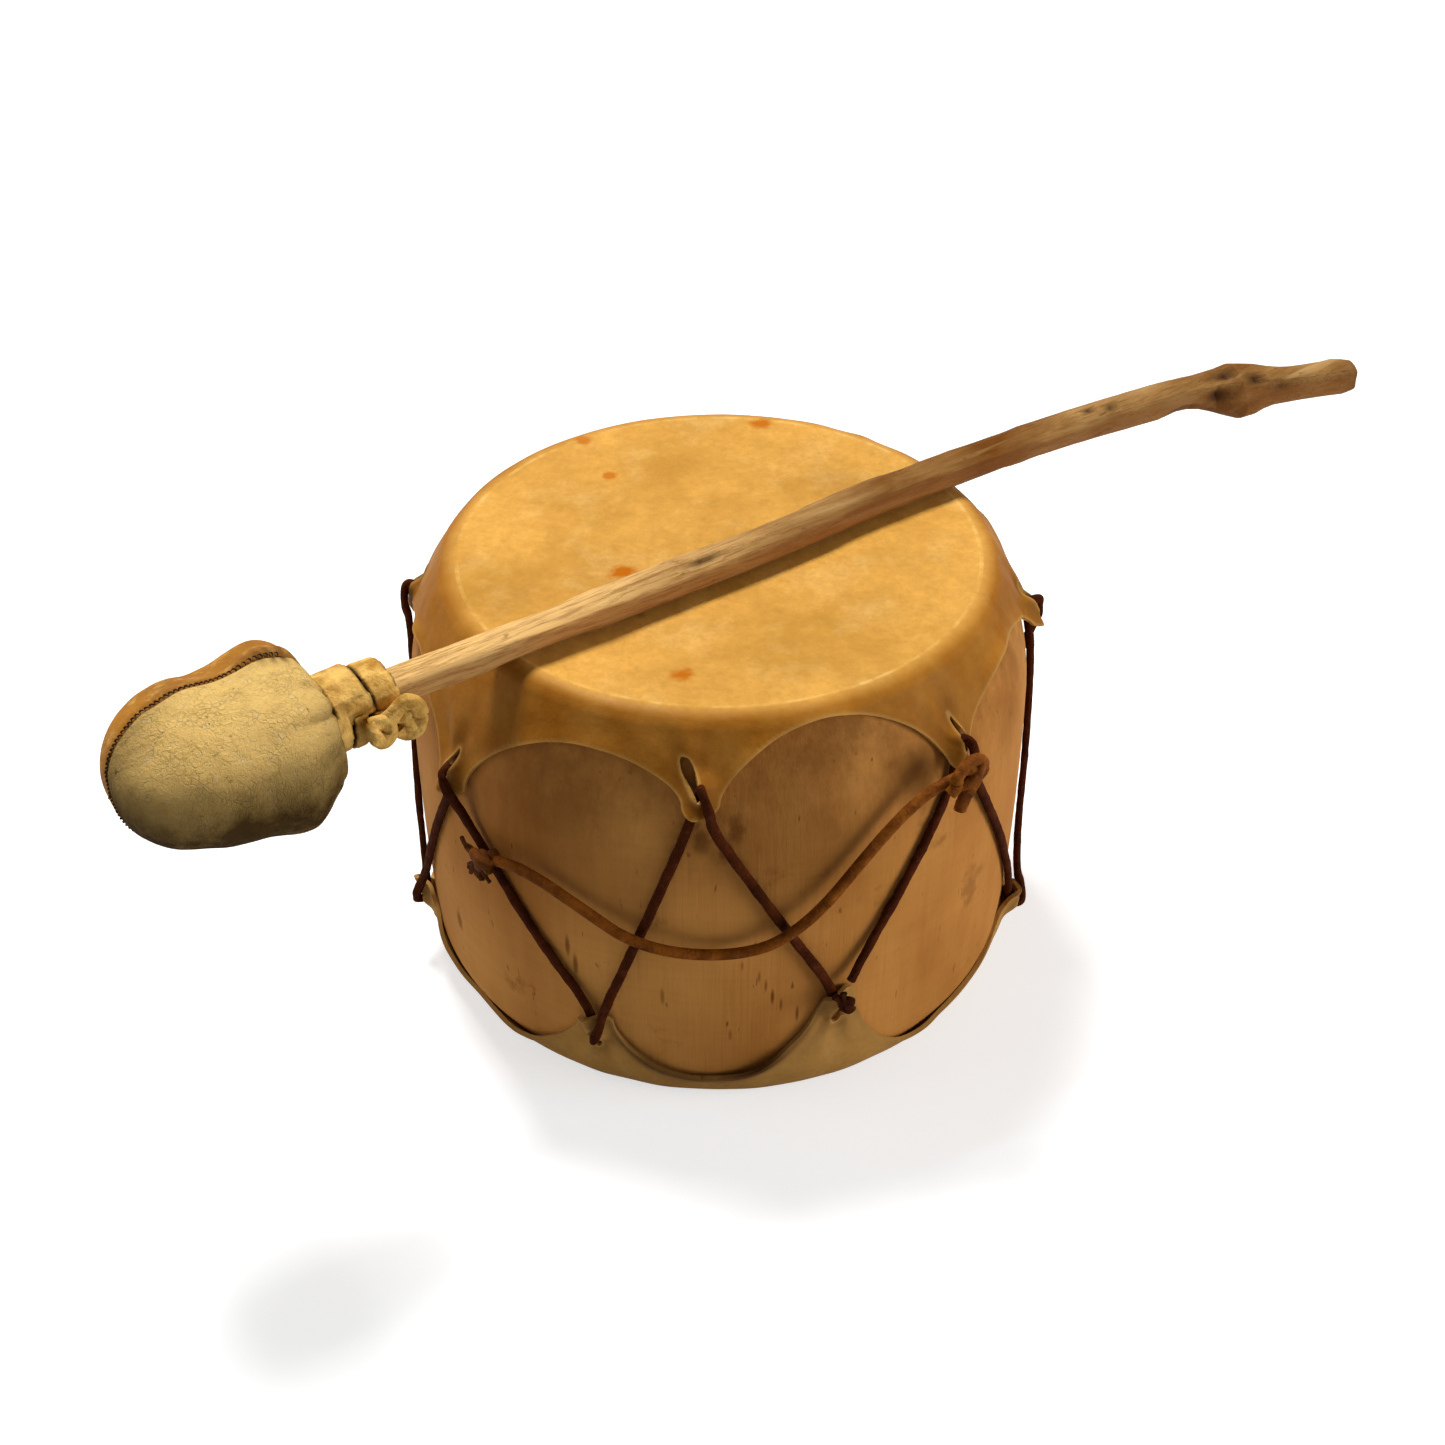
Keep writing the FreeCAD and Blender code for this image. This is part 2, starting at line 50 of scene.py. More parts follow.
# The frame is the drum's own: the origin is the centre of the flat underside,
# +Z is up and the front is -Y. Blender works in metres, the tables are in mm.
MM = 0.001
RADIUS = 100.0
HEIGHT = 146.0
UP = Vector((0, 0, 1))
FULL_TURN = 2 * math.pi
# Depth in mm of the bare wood under the side line, and steps of each of its arcs.
WOOD_DEPTH = 1.5
ARC_STEPS = 30

# Side line of the covered drum from the top rim to the underside, as shares of
# radius and height. Every other point ends an arc.
SIDE_LINE = [
    (0.800, 1.000), (0.846, 0.994), (0.876, 0.971), (0.942, 0.881), (0.994, 0.716), (1.000, 0.489),
    (0.988, 0.150), (0.973, 0.075), (0.934, 0.028), (0.888, 0.006), (0.836, 0.000),
]
# Tabs: angle, tip height, angle and height of the next arch's crown, then the
# half widths of the slit near the tip and near the rim, and how far it leans.
TOP_TABS = [
    (-100.0, 0.766, -76.0, 0.877, 1.6, 1.5), (-52.0, 0.688, -23.0, 0.922, 1.6, 0.7, 2.0),
    (-3.0, 0.822, 20.0, 0.980, 1.7, 2.3, -5.0), (45.5, 0.795, 68.0, 0.920, 1.6, 0.3),
    (92.0, 0.787, 119.0, 0.945, 1.8, 1.2), (146.0, 0.805, 174.0, 0.930, 1.6, 2.0),
    (203.0, 0.760, 231.0, 0.912, 1.9, 1.4),
]
BOTTOM_TABS = [
    (-77.0, 0.205, -48.0, 0.062, 1.7, 1.4), (-22.0, 0.262, -2.0, 0.107, 1.9, 1.2),
    (21.0, 0.342, 39.0, 0.082, 2.0, 1.6), (76.0, 0.200, 97.0, 0.075, 1.6, 1.7),
    (118.0, 0.245, 146.0, 0.082, 1.8, 1.2), (174.0, 0.270, 203.0, 0.075, 1.6, 1.8),
    (232.0, 0.240, 257.0, 0.068, 1.9, 1.3),
]
# Half width of a tab and the rounding of its corners, and where a slit starts and
# ends, counted from the tab's tip, in mm.
TAB_HALF = 5.2
TAB_ROUND = 4.0
SLIT_BAR = 5.0
SLIT_END = 16.0
# How near to an arch or a slit a point of the hide's mesh is drawn onto its outline.
ARCH_SNAP = 1.6
SLIT_SNAP = 1.2
# The tab with the lace's knot, counted round both heads, and its angle and height.
TIED_TAB = 5
TIED_AT = BOTTOM_TABS[2][:2]

# The carry cord's route: angle, distance from the axis, height.
CARRY_ROUTE = [
    (-42.0, 103.4, 86.5), (-37.0, 103.6, 90.2), (-31.0, 102.8, 88.6), (-25.0, 102.6, 84.2),
    (-20.0, 103.0, 80.2), (-16.2, 104.2, 77.4), (-11.2, 104.2, 74.4), (-6.0, 103.0, 72.0),
    (0.0, 102.4, 71.4), (5.0, 103.0, 73.0), (9.2, 104.2, 76.6), (13.6, 104.2, 82.4),
    (18.0, 103.4, 89.4), (23.0, 102.6, 99.4), (27.7, 102.6, 108.4), (32.6, 102.8, 115.4),
    (37.0, 104.0, 119.6), (41.3, 106.4, 121.5),
]

# The beater's own frame: its origin is the neck and X runs along the stick.
BEATER_TURN = math.radians(35.3)
NECK = Vector((-87.38, -76.46, 152.0))
STICK_RADIUS = 5.7
STICK_LENGTH = 350.0
STICK_INSIDE = 62.0
# Share of its radius that the branch had before its knife cuts, and their number.
UNCUT = 1.035
KNIFE_CUTS = 120
STICK_STATIONS = [
    (0.000, 0.00, 0.97), (0.150, -0.10, 0.98), (0.330, -0.12, 1.00), (0.520, 0.02, 1.00),
    (0.670, -0.20, 1.00), (0.765, -0.49, 1.04), (0.850, -0.90, 1.12), (0.886, -1.28, 1.42),
    (0.930, -1.98, 1.14), (0.970, -2.42, 1.06), (1.000, -2.70, 1.16),
]
PAD_CENTRE = Vector((-51.7, 0, 0))
PAD_HALVES = Vector((35.2, 29.8, 22.4))
SEAM_LEAN = math.radians(17.0)
SEAM_ACROSS = Vector((0, math.cos(SEAM_LEAN), -math.sin(SEAM_LEAN)))
SEAM_UP = Vector((0, math.sin(SEAM_LEAN), math.cos(SEAM_LEAN)))
# Where the binding's far edge gathers the pad's leather, along the stick.
BINDING_EDGE = -25.0

# The camera, as it was fitted to the drum's outline: lengths in metres, and
# lengths in pixels of the square photograph.
CAMERA_TILT = 38.1
CAMERA_AWAY = 0.7
CAMERA_TARGET = Vector((0, 0, 0.0731))
PHOTO_PX = 1445
FOCAL_PX = 2124.3
CAMERA_SHIFT_PX = (3.5, 11.9)
SENSOR = 36
# The lamps: name, place and size in metres, power in watts.
LAMPS = [
    ("key", (-0.25, 0.42, 1.35), 0.32, 21.5), ("fill_right", (1.35, -0.45, 0.32), 0.8, 15.5),
    ("fill_left", (-1.3, -0.2, 0.5), 0.8, 4.0),
]


def linear(code):
    """Linear colour of an sRGB hex value."""
    values = [int(code[i:i + 2], 16) / 255 for i in (1, 3, 5)]
    return [v / 12.92 if v <= 0.04045 else ((v + 0.055) / 1.055) ** 2.4 for v in values]


def length_value(name, description, default):
    """Property that holds one real length, in metres."""
    return bpy.props.FloatProperty(name=name, description=description, default=default,
                                   min=0, precision=4, unit="LENGTH")


def colour_value(name, description, code):
    """Property that holds one colour, written as an sRGB hex value."""
    return bpy.props.FloatVectorProperty(name=name, description=description,
                                         default=linear(code), min=0, max=1, subtype="COLOR")


class HideSizes(bpy.types.PropertyGroup):
    """Sizes of the hide, the lace and the carry cord"""
    thickness: length_value("Hide thickness", "Thickness of the dried rawhide", 0.0014)
    edge_lift: length_value("Edge lift", "How far a cut edge curls off the wood", 0.0013)
    row_step: length_value("Row step", "Height of one row of the skirt's mesh", 0.0007)
    lace_width: length_value("Lace width", "Width of the flattened lace", 0.0031)
    lace_thickness: length_value("Lace thickness", "Thickness of the flattened lace", 0.0023)
    carry_diameter: length_value("Carry cord", "Diameter of the carry cord", 0.0034)


class BeaterSizes(bpy.types.PropertyGroup):
    """Sizes of the beater's pad and its seam"""
    leather: length_value("Pad leather", "Thickness of the pad's leather", 0.0015)
    swell: length_value("Pad swell", "Most that the stuffing may push the leather out", 0.004)
    voxel: length_value("Pad mesh step", "Cell size of the mesh that the pad swells as", 0.0018)
    stitch: length_value("Stitch length", "Length of one seam stitch", 0.0015)
    thread: length_value("Thread", "Thickness of the seam thread", 0.0006)


class Finishes(bpy.types.PropertyGroup):
    """Colours of the hide, woods, leathers, thread and stuffing"""
    hide: colour_value("Hide", "Amber of the flat head", "#DFA750")
    hide_dark: colour_value("Hide stains", "Darker mottling of the hide", "#B98638")
    # The skirt colour also holds painted shade under the rim.
    skirt: colour_value("Skirt", "Olive brown of the turned-down hide", "#8C510E")
    base_hide: colour_value("Lower hide", "Greyish tan of the bottom head", "#A87E48")
    hide_edge: colour_value("Cut edge", "Pale cut edge of the hide", "#C0924E")
    wood: colour_value("Wood", "Pinkish tan of the peeled log", "#CC904A")
    wood_dark: colour_value("Wood grain", "Darker grain of the log", "#8E5A2A")
    lace: colour_value("Lace", "Dark brown of the lace", "#4C2109")
    carry: colour_value("Carry cord", "Brown of the carry cord", "#8A4E14")
    branch: colour_value("Branch", "Pale yellow of the peeled branch", "#E8BA74")
    branch_dark: colour_value("Branch grain", "Browner wood near the burl", "#643A0B")
    suede: colour_value("Suede", "Pale front panel of the pad", "#F2C877")
    # The handled suede colour is painted shade of the pad's underside, partly grime.
    suede_grime_and_shade: colour_value("Suede, worn", "Olive brown of the handled suede", "#46310F")
    tan: colour_value("Tan leather", "Orange tan back panel of the pad", "#A87024")
    strap: colour_value("Strap", "Warm yellow strap round the neck", "#F4C46C")
    thread: colour_value("Thread", "Dark seam thread", "#3A220E")
    fibre: colour_value("Stuffing", "Packed fibre in the pad", "#CFC4AA")


def signed(angle, full=360.0):
    """The same angle, counted from minus half a turn to half a turn."""
    return (angle + full / 2) % full - full / 2


def bell(*offsets):
    """Bell curve: 1 where every offset is 0, and 0.37 where one of them is 1."""
    return np.exp(-sum(offset ** 2 for offset in offsets))


def smoothstep(value):
    """Smooth ramp from 0 to 1."""
    value = np.clip(value, 0, 1)
    return value * value * (3 - 2 * value)


def wobble(point, scale, seed=0.0):
    """Smooth noise from -1 to 1 at a point in millimetres."""
    return noise.noise(Vector(point) / scale + Vector((seed, seed * 1.7, -seed)))


def deselect():
    """Leave object mode with nothing selected."""
    if bpy.context.object and bpy.context.object.mode != "OBJECT":
        bpy.ops.object.mode_set(mode="OBJECT")
    bpy.ops.object.select_all(action="DESELECT")


def newest(name):
    """Name the object that an operator has just added."""
    piece = bpy.context.object
    piece.name = name
    piece.data.name = name
    return piece


def make_active(piece):
    """Select one piece alone."""
    deselect()
    piece.select_set(True)
    bpy.context.view_layer.objects.active = piece


def apply_modifiers(piece):
    """Apply every modifier of a piece in its order."""
    make_active(piece)
    for modifier in list(piece.modifiers):
        bpy.ops.object.modifier_apply(modifier=modifier.name)


def settle(piece):
    """Turn a piece into a mesh that holds its place, with its object at the origin."""
    make_active(piece)
    if piece.type == "CURVE":
        bpy.ops.object.convert(target="MESH")
        piece = bpy.context.object
    bpy.ops.object.transform_apply(location=True, rotation=True, scale=True)
    return piece


def smooth(piece, angle=60.0):
    """Shade smooth, with sharp edges above an angle."""
    make_active(piece)
    bpy.ops.object.shade_smooth_by_angle(angle=math.radians(angle))


def join(pieces, name):
    """Join meshes into one named piece."""
    deselect()
    for piece in pieces:
        piece.select_set(True)
    bpy.context.view_layer.objects.active = pieces[0]
    bpy.ops.object.join()
    return newest(name)


def pick(piece, kind, chosen):
    """Go to edit mode with only the chosen edges or faces selected."""
    make_active(piece)
    bpy.ops.object.mode_set(mode="EDIT")
    bpy.ops.mesh.select_mode(type=kind)
    bpy.ops.mesh.select_all(action="DESELECT")
    bpy.ops.object.mode_set(mode="OBJECT")
    items = piece.data.edges if kind == "EDGE" else piece.data.polygons
    items.foreach_set("select", list(chosen))
    bpy.ops.object.mode_set(mode="EDIT")


def face_outward(piece):
    """Turn the normals of all faces to one side, outward where the mesh is closed."""
    make_active(piece)
    bpy.ops.object.mode_set(mode="EDIT")
    bpy.ops.mesh.select_all(action="SELECT")
    bpy.ops.mesh.normals_make_consistent(inside=False)
    bpy.ops.object.mode_set(mode="OBJECT")


def add_wall(piece, thickness, **settings):
    """Give a skin its thickness, inward from its face."""
    wall = piece.modifiers.new("wall", "SOLIDIFY")
    wall.thickness = thickness
    wall.offset = -1
    for name, value in settings.items():
        setattr(wall, name, value)
    apply_modifiers(piece)


def set_values(mesh, label, values):
    """Give each point of a mesh its value of a named attribute, for a material to read."""
    layer = mesh.attributes.new(label, "FLOAT", "POINT")
    layer.data.foreach_set("value", np.asarray(values, np.float32))


def finish_piece(piece, body, node, *materials):
    """Give a piece its materials and its body, and hide the CAD node that it stands for."""
    for material in materials:
        piece.data.materials.append(material)
    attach(piece, body)
    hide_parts(node)


def seat_on_beater(piece, unit=1.0):
    """Move a mesh from the beater's own frame, in a unit of metres, to its place."""
    turned = Matrix.Rotation(BEATER_TURN, 4, "Z")
    piece.data.transform(Matrix.Translation(NECK * MM) @ turned @ Matrix.Scale(unit, 4))


def outward(angle):
    """Unit direction away from the drum's axis at an angle from the front."""
    turn = math.radians(angle)
    return Vector((math.sin(turn), -math.cos(turn), 0))


def side_table():
    """Dense table of the side line: distance along it, radius, height, normal."""
    points = [(r * RADIUS, z * HEIGHT) for r, z in SIDE_LINE]
    line = []
    for i in range(0, len(points) - 1, 2):
        # The circle through three points of the side line.
        (ax, ay), (bx, by), (cx, cy) = points[i:i + 3]
        d = 2 * (ax * (by - cy) + bx * (cy - ay) + cx * (ay - by))
        a2, b2, c2 = ax * ax + ay * ay, bx * bx + by * by, cx * cx + cy * cy
        ox = (a2 * (by - cy) + b2 * (cy - ay) + c2 * (ay - by)) / d
        oy = (a2 * (cx - bx) + b2 * (ax - cx) + c2 * (bx - ax)) / d
        start = math.atan2(ay - oy, ax - ox)
        turn = math.atan2(cy - oy, cx - ox) - start
        size = math.hypot(ax - ox, ay - oy)
        for step in range(ARC_STEPS):
            angle = start + turn * step / ARC_STEPS
            line.append((ox + size * math.cos(angle), oy + size * math.sin(angle)))
    line = np.array(line + [points[-1]])
    gaps = np.diff(line, axis=0)
    run = np.concatenate([[0], np.cumsum(np.hypot(gaps[:, 0], gaps[:, 1]))])
    along = np.gradient(line, axis=0)
    along /= np.hypot(along[:, 0], along[:, 1])[:, None]
    return run, line[:, 0], line[:, 1], -along[:, 1], along[:, 0]


SIDE = side_table()


def side_at(run):
    """Radius, height and normal of the side line at distances along it."""
    return [np.interp(run, SIDE[0], column) for column in SIDE[1:]]


def run_at(height):
    """Distance along the side line at a height."""
    return float(np.interp(-height, -SIDE[2], SIDE[0]))


def on_wood(angle, height, lift, across=0.0):
    """Point above the bare wood by a lift, moved across along the side."""
    radius, z, out, rise = side_at(run_at(height))
    turned = angle + math.degrees(across / radius)
    depth = lift - WOOD_DEPTH
    return outward(turned) * (radius + out * depth) + UP * (z + rise * depth)


def add_node(tree, kind, inputs=None, output=0, **settings):
    """Add one node with its settings and its inputs' values or links, and return an output."""
    node = tree.nodes.new(kind)
    for name, value in settings.items():
        setattr(node, name, value)
    for name, value in (inputs or {}).items():
        socket = node.inputs[name]
        if isinstance(value, bpy.types.NodeSocket):
            tree.links.new(value, socket)
        elif socket.type == "RGBA":
            socket.default_value = (*value, 1)
        else:
            socket.default_value = value
    return node.outputs[output]


def blank_material(name, **shader_values):
    """New material with its shader and its Object coordinates."""
    material = bpy.data.materials.new(name)
    material.use_nodes = True
    tree = material.node_tree
    shader = tree.nodes["Principled BSDF"]
    for key, value in shader_values.items():
        shader.inputs[key.replace("_", " ")].default_value = value
    return material, tree, shader, add_node(tree, "ShaderNodeTexCoord", output="Object")


def noise_mask(tree, coords, size, low, high, detail=4.0, rough=0.55, stretch=(1, 1, 1)):
    """Grey mask from noise with features of a size in metres, drawn out along an axis."""
    spread = add_node(tree, "ShaderNodeMapping", {"Scale": stretch, "Vector": coords})
    field = add_node(tree, "ShaderNodeTexNoise", {"Scale": 1 / size, "Detail": detail,
                                                  "Roughness": rough, "Vector": spread}, "Fac")
    return add_node(tree, "ShaderNodeMapRange", {"From Min": low, "From Max": high, "Value": field})


def spot_mask(tree, coords, centre, size, edge, core, strength, fall="LINEAR", wave=None):
    """Mask of one stain: full inside its core and gone at its edge, as shares of its size.

    A wave is a mask that makes the edge uneven.
    """
    near = add_node(tree, "ShaderNodeMapping", {"Location": centre, "Scale": size,
                                                "Vector": coords}, vector_type="TEXTURE")
    reach = add_node(tree, "ShaderNodeVectorMath", {0: near}, "Value", operation="LENGTH")
    if wave is not None:
        reach = add_node(tree, "ShaderNodeMath", {0: reach, 1: wave}, operation="ADD")
    return add_node(tree, "ShaderNodeMapRange", {"From Min": edge, "From Max": core,
                                                 "To Max": strength, "Value": reach},
                    interpolation_type=fall)


def lay_colours(tree, colour, layers):
    """Colour with layers over it in their order: a mask, its strength and a colour each."""
    for mask, strength, over in layers:
        if isinstance(mask, str):
            mask = add_node(tree, "ShaderNodeAttribute", output="Fac", attribute_name=mask)
        share = add_node(tree, "ShaderNodeMath", {0: mask, 1: strength}, operation="MULTIPLY")
        over = linear(over) if isinstance(over, str) else over
        colour = add_node(tree, "ShaderNodeMix", {0: share, 6: colour, 7: over}, 2,
                          data_type="RGBA")
    return colour


def set_surface(tree, shader, colour, height, distance, strength=1.0, roughness=None):
    """Link colour, bump and, where it varies, roughness to the shader."""
    tree.links.new(colour, shader.inputs["Base Color"])
    if roughness is not None:
        tree.links.new(roughness, shader.inputs["Roughness"])
    bump = add_node(tree, "ShaderNodeBump", {"Strength": strength, "Distance": distance,
                                             "Height": height})
    tree.links.new(bump, shader.inputs["Normal"])


# Brown stains of the flat head: place, half width and half depth in mm, strength.
HEAD_STAINS = [
    (-29.5, -12.5, 5.4, 4.2, 1.0), (-10.5, -65.2, 4.2, 3.6, 0.95), (-35.4, 43.4, 2.8, 3.0, 0.8),
    (14.5, 77.0, 4.4, 4.0, 0.9), (-45.6, 65.8, 3.2, 3.4, 0.75),
]


def rawhide(name, finishes, lower):
    """Cow rawhide, soaked, laced and dried hard: smooth, mottled and a little glossy."""
    material, tree, shader, coords = blank_material(name, Specular_IOR_Level=0.025)
    clouds = noise_mask(tree, coords, 0.045, 0.35, 0.68, 6.0, 0.6)
    pale = noise_mask(tree, coords, 0.024, 0.52, 0.75, 5.0, 0.62)
    # The upper skirt is darker than the flat head: partly its own browner colour, partly painted
    # shade under the rim.
    # The lower head is browner all over, and less so towards the floor.
    flat = add_node(tree, "ShaderNodeVectorMath", {0: coords, 1: (1, 1, 0)}, operation="MULTIPLY")
    radius = add_node(tree, "ShaderNodeVectorMath", {0: flat}, "Value", operation="LENGTH")
    height = add_node(tree, "ShaderNodeSeparateXYZ", {0: coords}, 2)
    ends = {"From Min": 0.0802, "From Max": 0.0855, "To Max": 0.97, "Value": radius}
    if lower:
        ends = {"From Min": 0.03, "From Max": 0.0, "To Min": 1.0, "To Max": 0.55, "Value": height}
    skirt = add_node(tree, "ShaderNodeMapRange", ends)
    patchy = noise_mask(tree, coords, 0.016, 0.2, 0.62, 5.0, 0.6)
    patchy = add_node(tree, "ShaderNodeMath", {0: patchy, 1: 0.35, 2: 0.65},
                      operation="MULTIPLY_ADD")
    # Cloudy mottling 3 to 8 mm across, olive against bright yellow, and finer grain in it.
    mottle = noise_mask(tree, coords, 0.0075, 0.36, 0.66, 8.0, 0.78)
    fine = noise_mask(tree, coords, 0.0021, 0.42, 0.62, 4.0, 0.7)
    colour = lay_colours(tree, finishes.hide, [
        (clouds, 1.0, finishes.hide_dark), (pale, 0.35, "#F0CB86"),
        (skirt, patchy, finishes.base_hide if lower else finishes.skirt),
        (mottle, 0.38, "#A4722C"), (fine, 0.15, "#8A5C20"),
    ])
    if not lower:
        # A pale line where the hide turns down at the rim: a painted highlight, and partly rubbed
        # pale.
        crease_highlight_and_wear = add_node(tree, "ShaderNodeMath", {0: radius, 1: 0.0806, 2: 0.0006},
                          operation="COMPARE")
        rubbed = noise_mask(tree, coords, 0.012, 0.42, 0.66, 6.0, 0.7)
        crease_highlight_and_wear = add_node(tree, "ShaderNodeMath", {0: crease_highlight_and_wear, 1: 0.35}, operation="MULTIPLY")
        colour = lay_colours(tree, colour, [(crease_highlight_and_wear, rubbed, "#F0C878")])
    # Small brown stains, a few millimetres across, left by the hair roots.
    specks = add_node(tree, "ShaderNodeTexVoronoi", {"Scale": 38.0, "Vector": coords}, "Distance")
    specks = add_node(tree, "ShaderNodeMapRange", {"From Min": 0.10, "From Max": 0.04,
                                                   "To Max": 0.55, "Value": specks})
    rare = noise_mask(tree, coords, 0.02, 0.55, 0.62, 2.0)
    colour = lay_colours(tree, colour, [(specks, rare, "#6B3A12")])
    wave = noise_mask(tree, coords, 0.004, 0.3, 0.7)
    wave = add_node(tree, "ShaderNodeMath", {0: wave, 1: 0.6}, operation="MULTIPLY")
    for x, y, wide, deep, strength in [] if lower else HEAD_STAINS:
        stain = spot_mask(tree, coords, (x * MM, y * MM, HEIGHT * MM),
                          (wide * MM, deep * MM, 1 / 120), 1.35, 0.75, strength, wave=wave)
        colour = lay_colours(tree, colour, [(stain, 1.0, "#B05E06")])
    # Dirt round the slits, a pale line along every cut edge, and darker rolled edges on the lower
    # arches.
    colour = lay_colours(tree, colour, [
        ("slit_dirt", 0.6, "#5A3512"), ("cut_edge", 0.65, finishes.hide_edge),
        ("dark_fold", 0.92, "#42260F"),
    ])
    grain = noise_mask(tree, coords, 0.0016, 0.2, 0.8, 3.0, 0.7)
    folds = noise_mask(tree, coords, 0.011, 0.2, 0.8, 3.0, 0.5)
    bumps = add_node(tree, "ShaderNodeMath", {0: grain, 1: 0.22, 2: folds},
                     operation="MULTIPLY_ADD")
    gloss = add_node(tree, "ShaderNodeMapRange", {"To Min": 0.36, "To Max": 0.52, "Value": clouds})
    set_surface(tree, shader, colour, bumps, 0.00045, 0.7, gloss)
    return material


def hide_cut():
    """Sawn thickness of the rawhide: pale, matt and fibrous."""
    material, tree, shader, coords = blank_material("rawhide_cut_edge", Roughness=0.75,
                                                    Specular_IOR_Level=0.15)
    fibres = noise_mask(tree, coords, 0.0022, 0.3, 0.7, 4.0, 0.7)
    colour = lay_colours(tree, linear("#8A5C2C"), [(fibres, 1.0, "#5A3818")])
    set_surface(tree, shader, colour, fibres, 0.0003)
    return material


# Stains and streaks of the log, the first two broad ones painted shade under the rim: angle,
# height, half width and half height in mm, strength, and the share of the size at which the mark is
# full.
WOOD_STAINS_AND_SHADE = [
    (13, 108, 28, 30, 0.5, 0.0), (-26, 98, 30, 30, 0.2, 0.0), (-3, 111, 2.4, 5.0, 0.55, 0.5),
    (1, 108, 2.0, 4.6, 0.6, 0.5), (-4, 117, 1.8, 4.0, 0.5, 0.5), (3, 116, 2.6, 6.5, 0.7, 0.5),
    (8, 134, 0.8, 1.6, 0.8, 0.6), (5, 129, 1.0, 2.2, 0.7, 0.6), (17, 138, 0.8, 1.6, 0.9, 0.6),
    (12, 133, 0.8, 1.9, 0.7, 0.6), (10, 121, 1.0, 3.0, 0.6, 0.5), (6, 121, 0.9, 3.0, 0.55, 0.5),
    (14, 133, 3.4, 2.2, 0.6, 0.3), (19.5, 137, 4.4, 1.6, 0.6, 0.3), (25, 136, 4.2, 1.8, 0.65, 0.3),
    (27.5, 130, 2.4, 4.0, 0.55, 0.3), (31, 126, 4.4, 2.0, 0.5, 0.3), (7, 58, 0.5, 3.0, 0.75, 0.5),
    (8.2, 54, 0.5, 3.0, 0.75, 0.5), (9.4, 49, 0.6, 3.2, 0.8, 0.5), (11, 45, 0.5, 2.6, 0.6, 0.5),
    (14, 40, 0.5, 3.2, 0.7, 0.5), (4, 63, 0.6, 2.2, 0.6, 0.5), (-27.6, 61, 0.9, 4.6, 0.7, 0.5),
    (-26.2, 54, 0.9, 4.8, 0.7, 0.5), (-58, 38, 1.7, 4.4, 0.6, 0.4), (-10, 49, 0.7, 3.6, 0.5, 0.5),
    (2, 33, 0.6, 2.6, 0.45, 0.5),
]
MARK_RADIUS = 98.0


def log_wood(finishes):
    """Peeled softwood log, dried bare: matt, pinkish tan, fine upright grain."""
    material, tree, shader, coords = blank_material("peeled_log_wood", Roughness=0.72,
                                                    Specular_IOR_Level=0.05)
    broad = noise_mask(tree, coords, 0.05, 0.3, 0.7, 4.0, 0.5, (1, 1, 0.5))
    # Turning left faint rings round the log, about 1.5 mm apart.
    rings = noise_mask(tree, coords, 0.0022, 0.45, 0.65, 2.0, 0.5, (0.05, 0.05, 1))
    # Grain lines are about 1 mm apart, drawn a little wider so that they show.
    lines = noise_mask(tree, coords, 0.0016, 0.42, 0.68, 3.0, 0.6, (1, 1, 0.03))
    pale = noise_mask(tree, coords, 0.0035, 0.5, 0.75, 3.0, 0.5, (1, 1, 0.05))
    flecks = noise_mask(tree, coords, 0.0021, 0.70, 0.78, 2.0, 0.5, (1, 1, 0.25))
    grime = noise_mask(tree, coords, 0.022, 0.60, 0.70, 6.0, 0.7)
    # Darker blotches under the hide's upper edge, stronger towards the rim: partly water stains,
    # partly painted shade under the rim.
    damp_and_shade = noise_mask(tree, coords, 0.018, 0.38, 0.60, 8.0, 0.72, (1, 1, 0.7))
    height = add_node(tree, "ShaderNodeSeparateXYZ", {0: coords}, 2)
    rise = add_node(tree, "ShaderNodeMapRange", {"From Min": 0.085, "From Max": 0.142,
                                                 "To Max": 0.66, "Value": height})
    colour = lay_colours(tree, finishes.wood, [
        (broad, 1.0, "#A0662C"), (rings, 0.07, "#8A5426"), (lines, 0.04, finishes.wood_dark),
        (pale, 0.08, "#D69C58"), (flecks, 0.75, "#4A2A12"), (grime, 0.42, "#6A3C16"),
        (damp_and_shade, rise, "#6B3E14"),
    ])
    # Stains and painted shade, their edges bent by noise, and short upright streaks.
    stray = add_node(tree, "ShaderNodeTexNoise", {"Scale": 420.0, "Detail": 4.0,
                                                  "Vector": coords}, "Color")
    stray = add_node(tree, "ShaderNodeVectorMath", {0: stray, 1: (0.0028,) * 3, 2: (-0.0014,) * 3},
                     operation="MULTIPLY_ADD")
    stray = add_node(tree, "ShaderNodeVectorMath", {0: coords, 1: stray}, operation="ADD")
    for angle, up, wide, tall, strength, core in WOOD_STAINS_AND_SHADE:
        centre = (outward(angle) * MARK_RADIUS + UP * up) * MM
        mark = spot_mask(tree, stray if wide > 1.2 else coords, centre,
                         (wide * MM, wide * MM, tall * MM), 1.4, core, strength, "SMOOTHSTEP")
        colour = lay_colours(tree, colour, [(mark, 1.0, "#582E06")])
    pale = add_node(tree, "ShaderNodeMath", {0: pale, 1: 0.5}, operation="MULTIPLY")
    bumps = add_node(tree, "ShaderNodeMath", {0: pale, 1: lines}, operation="SUBTRACT")
    set_surface(tree, shader, colour, bumps, 0.0001, 0.5)
    return material


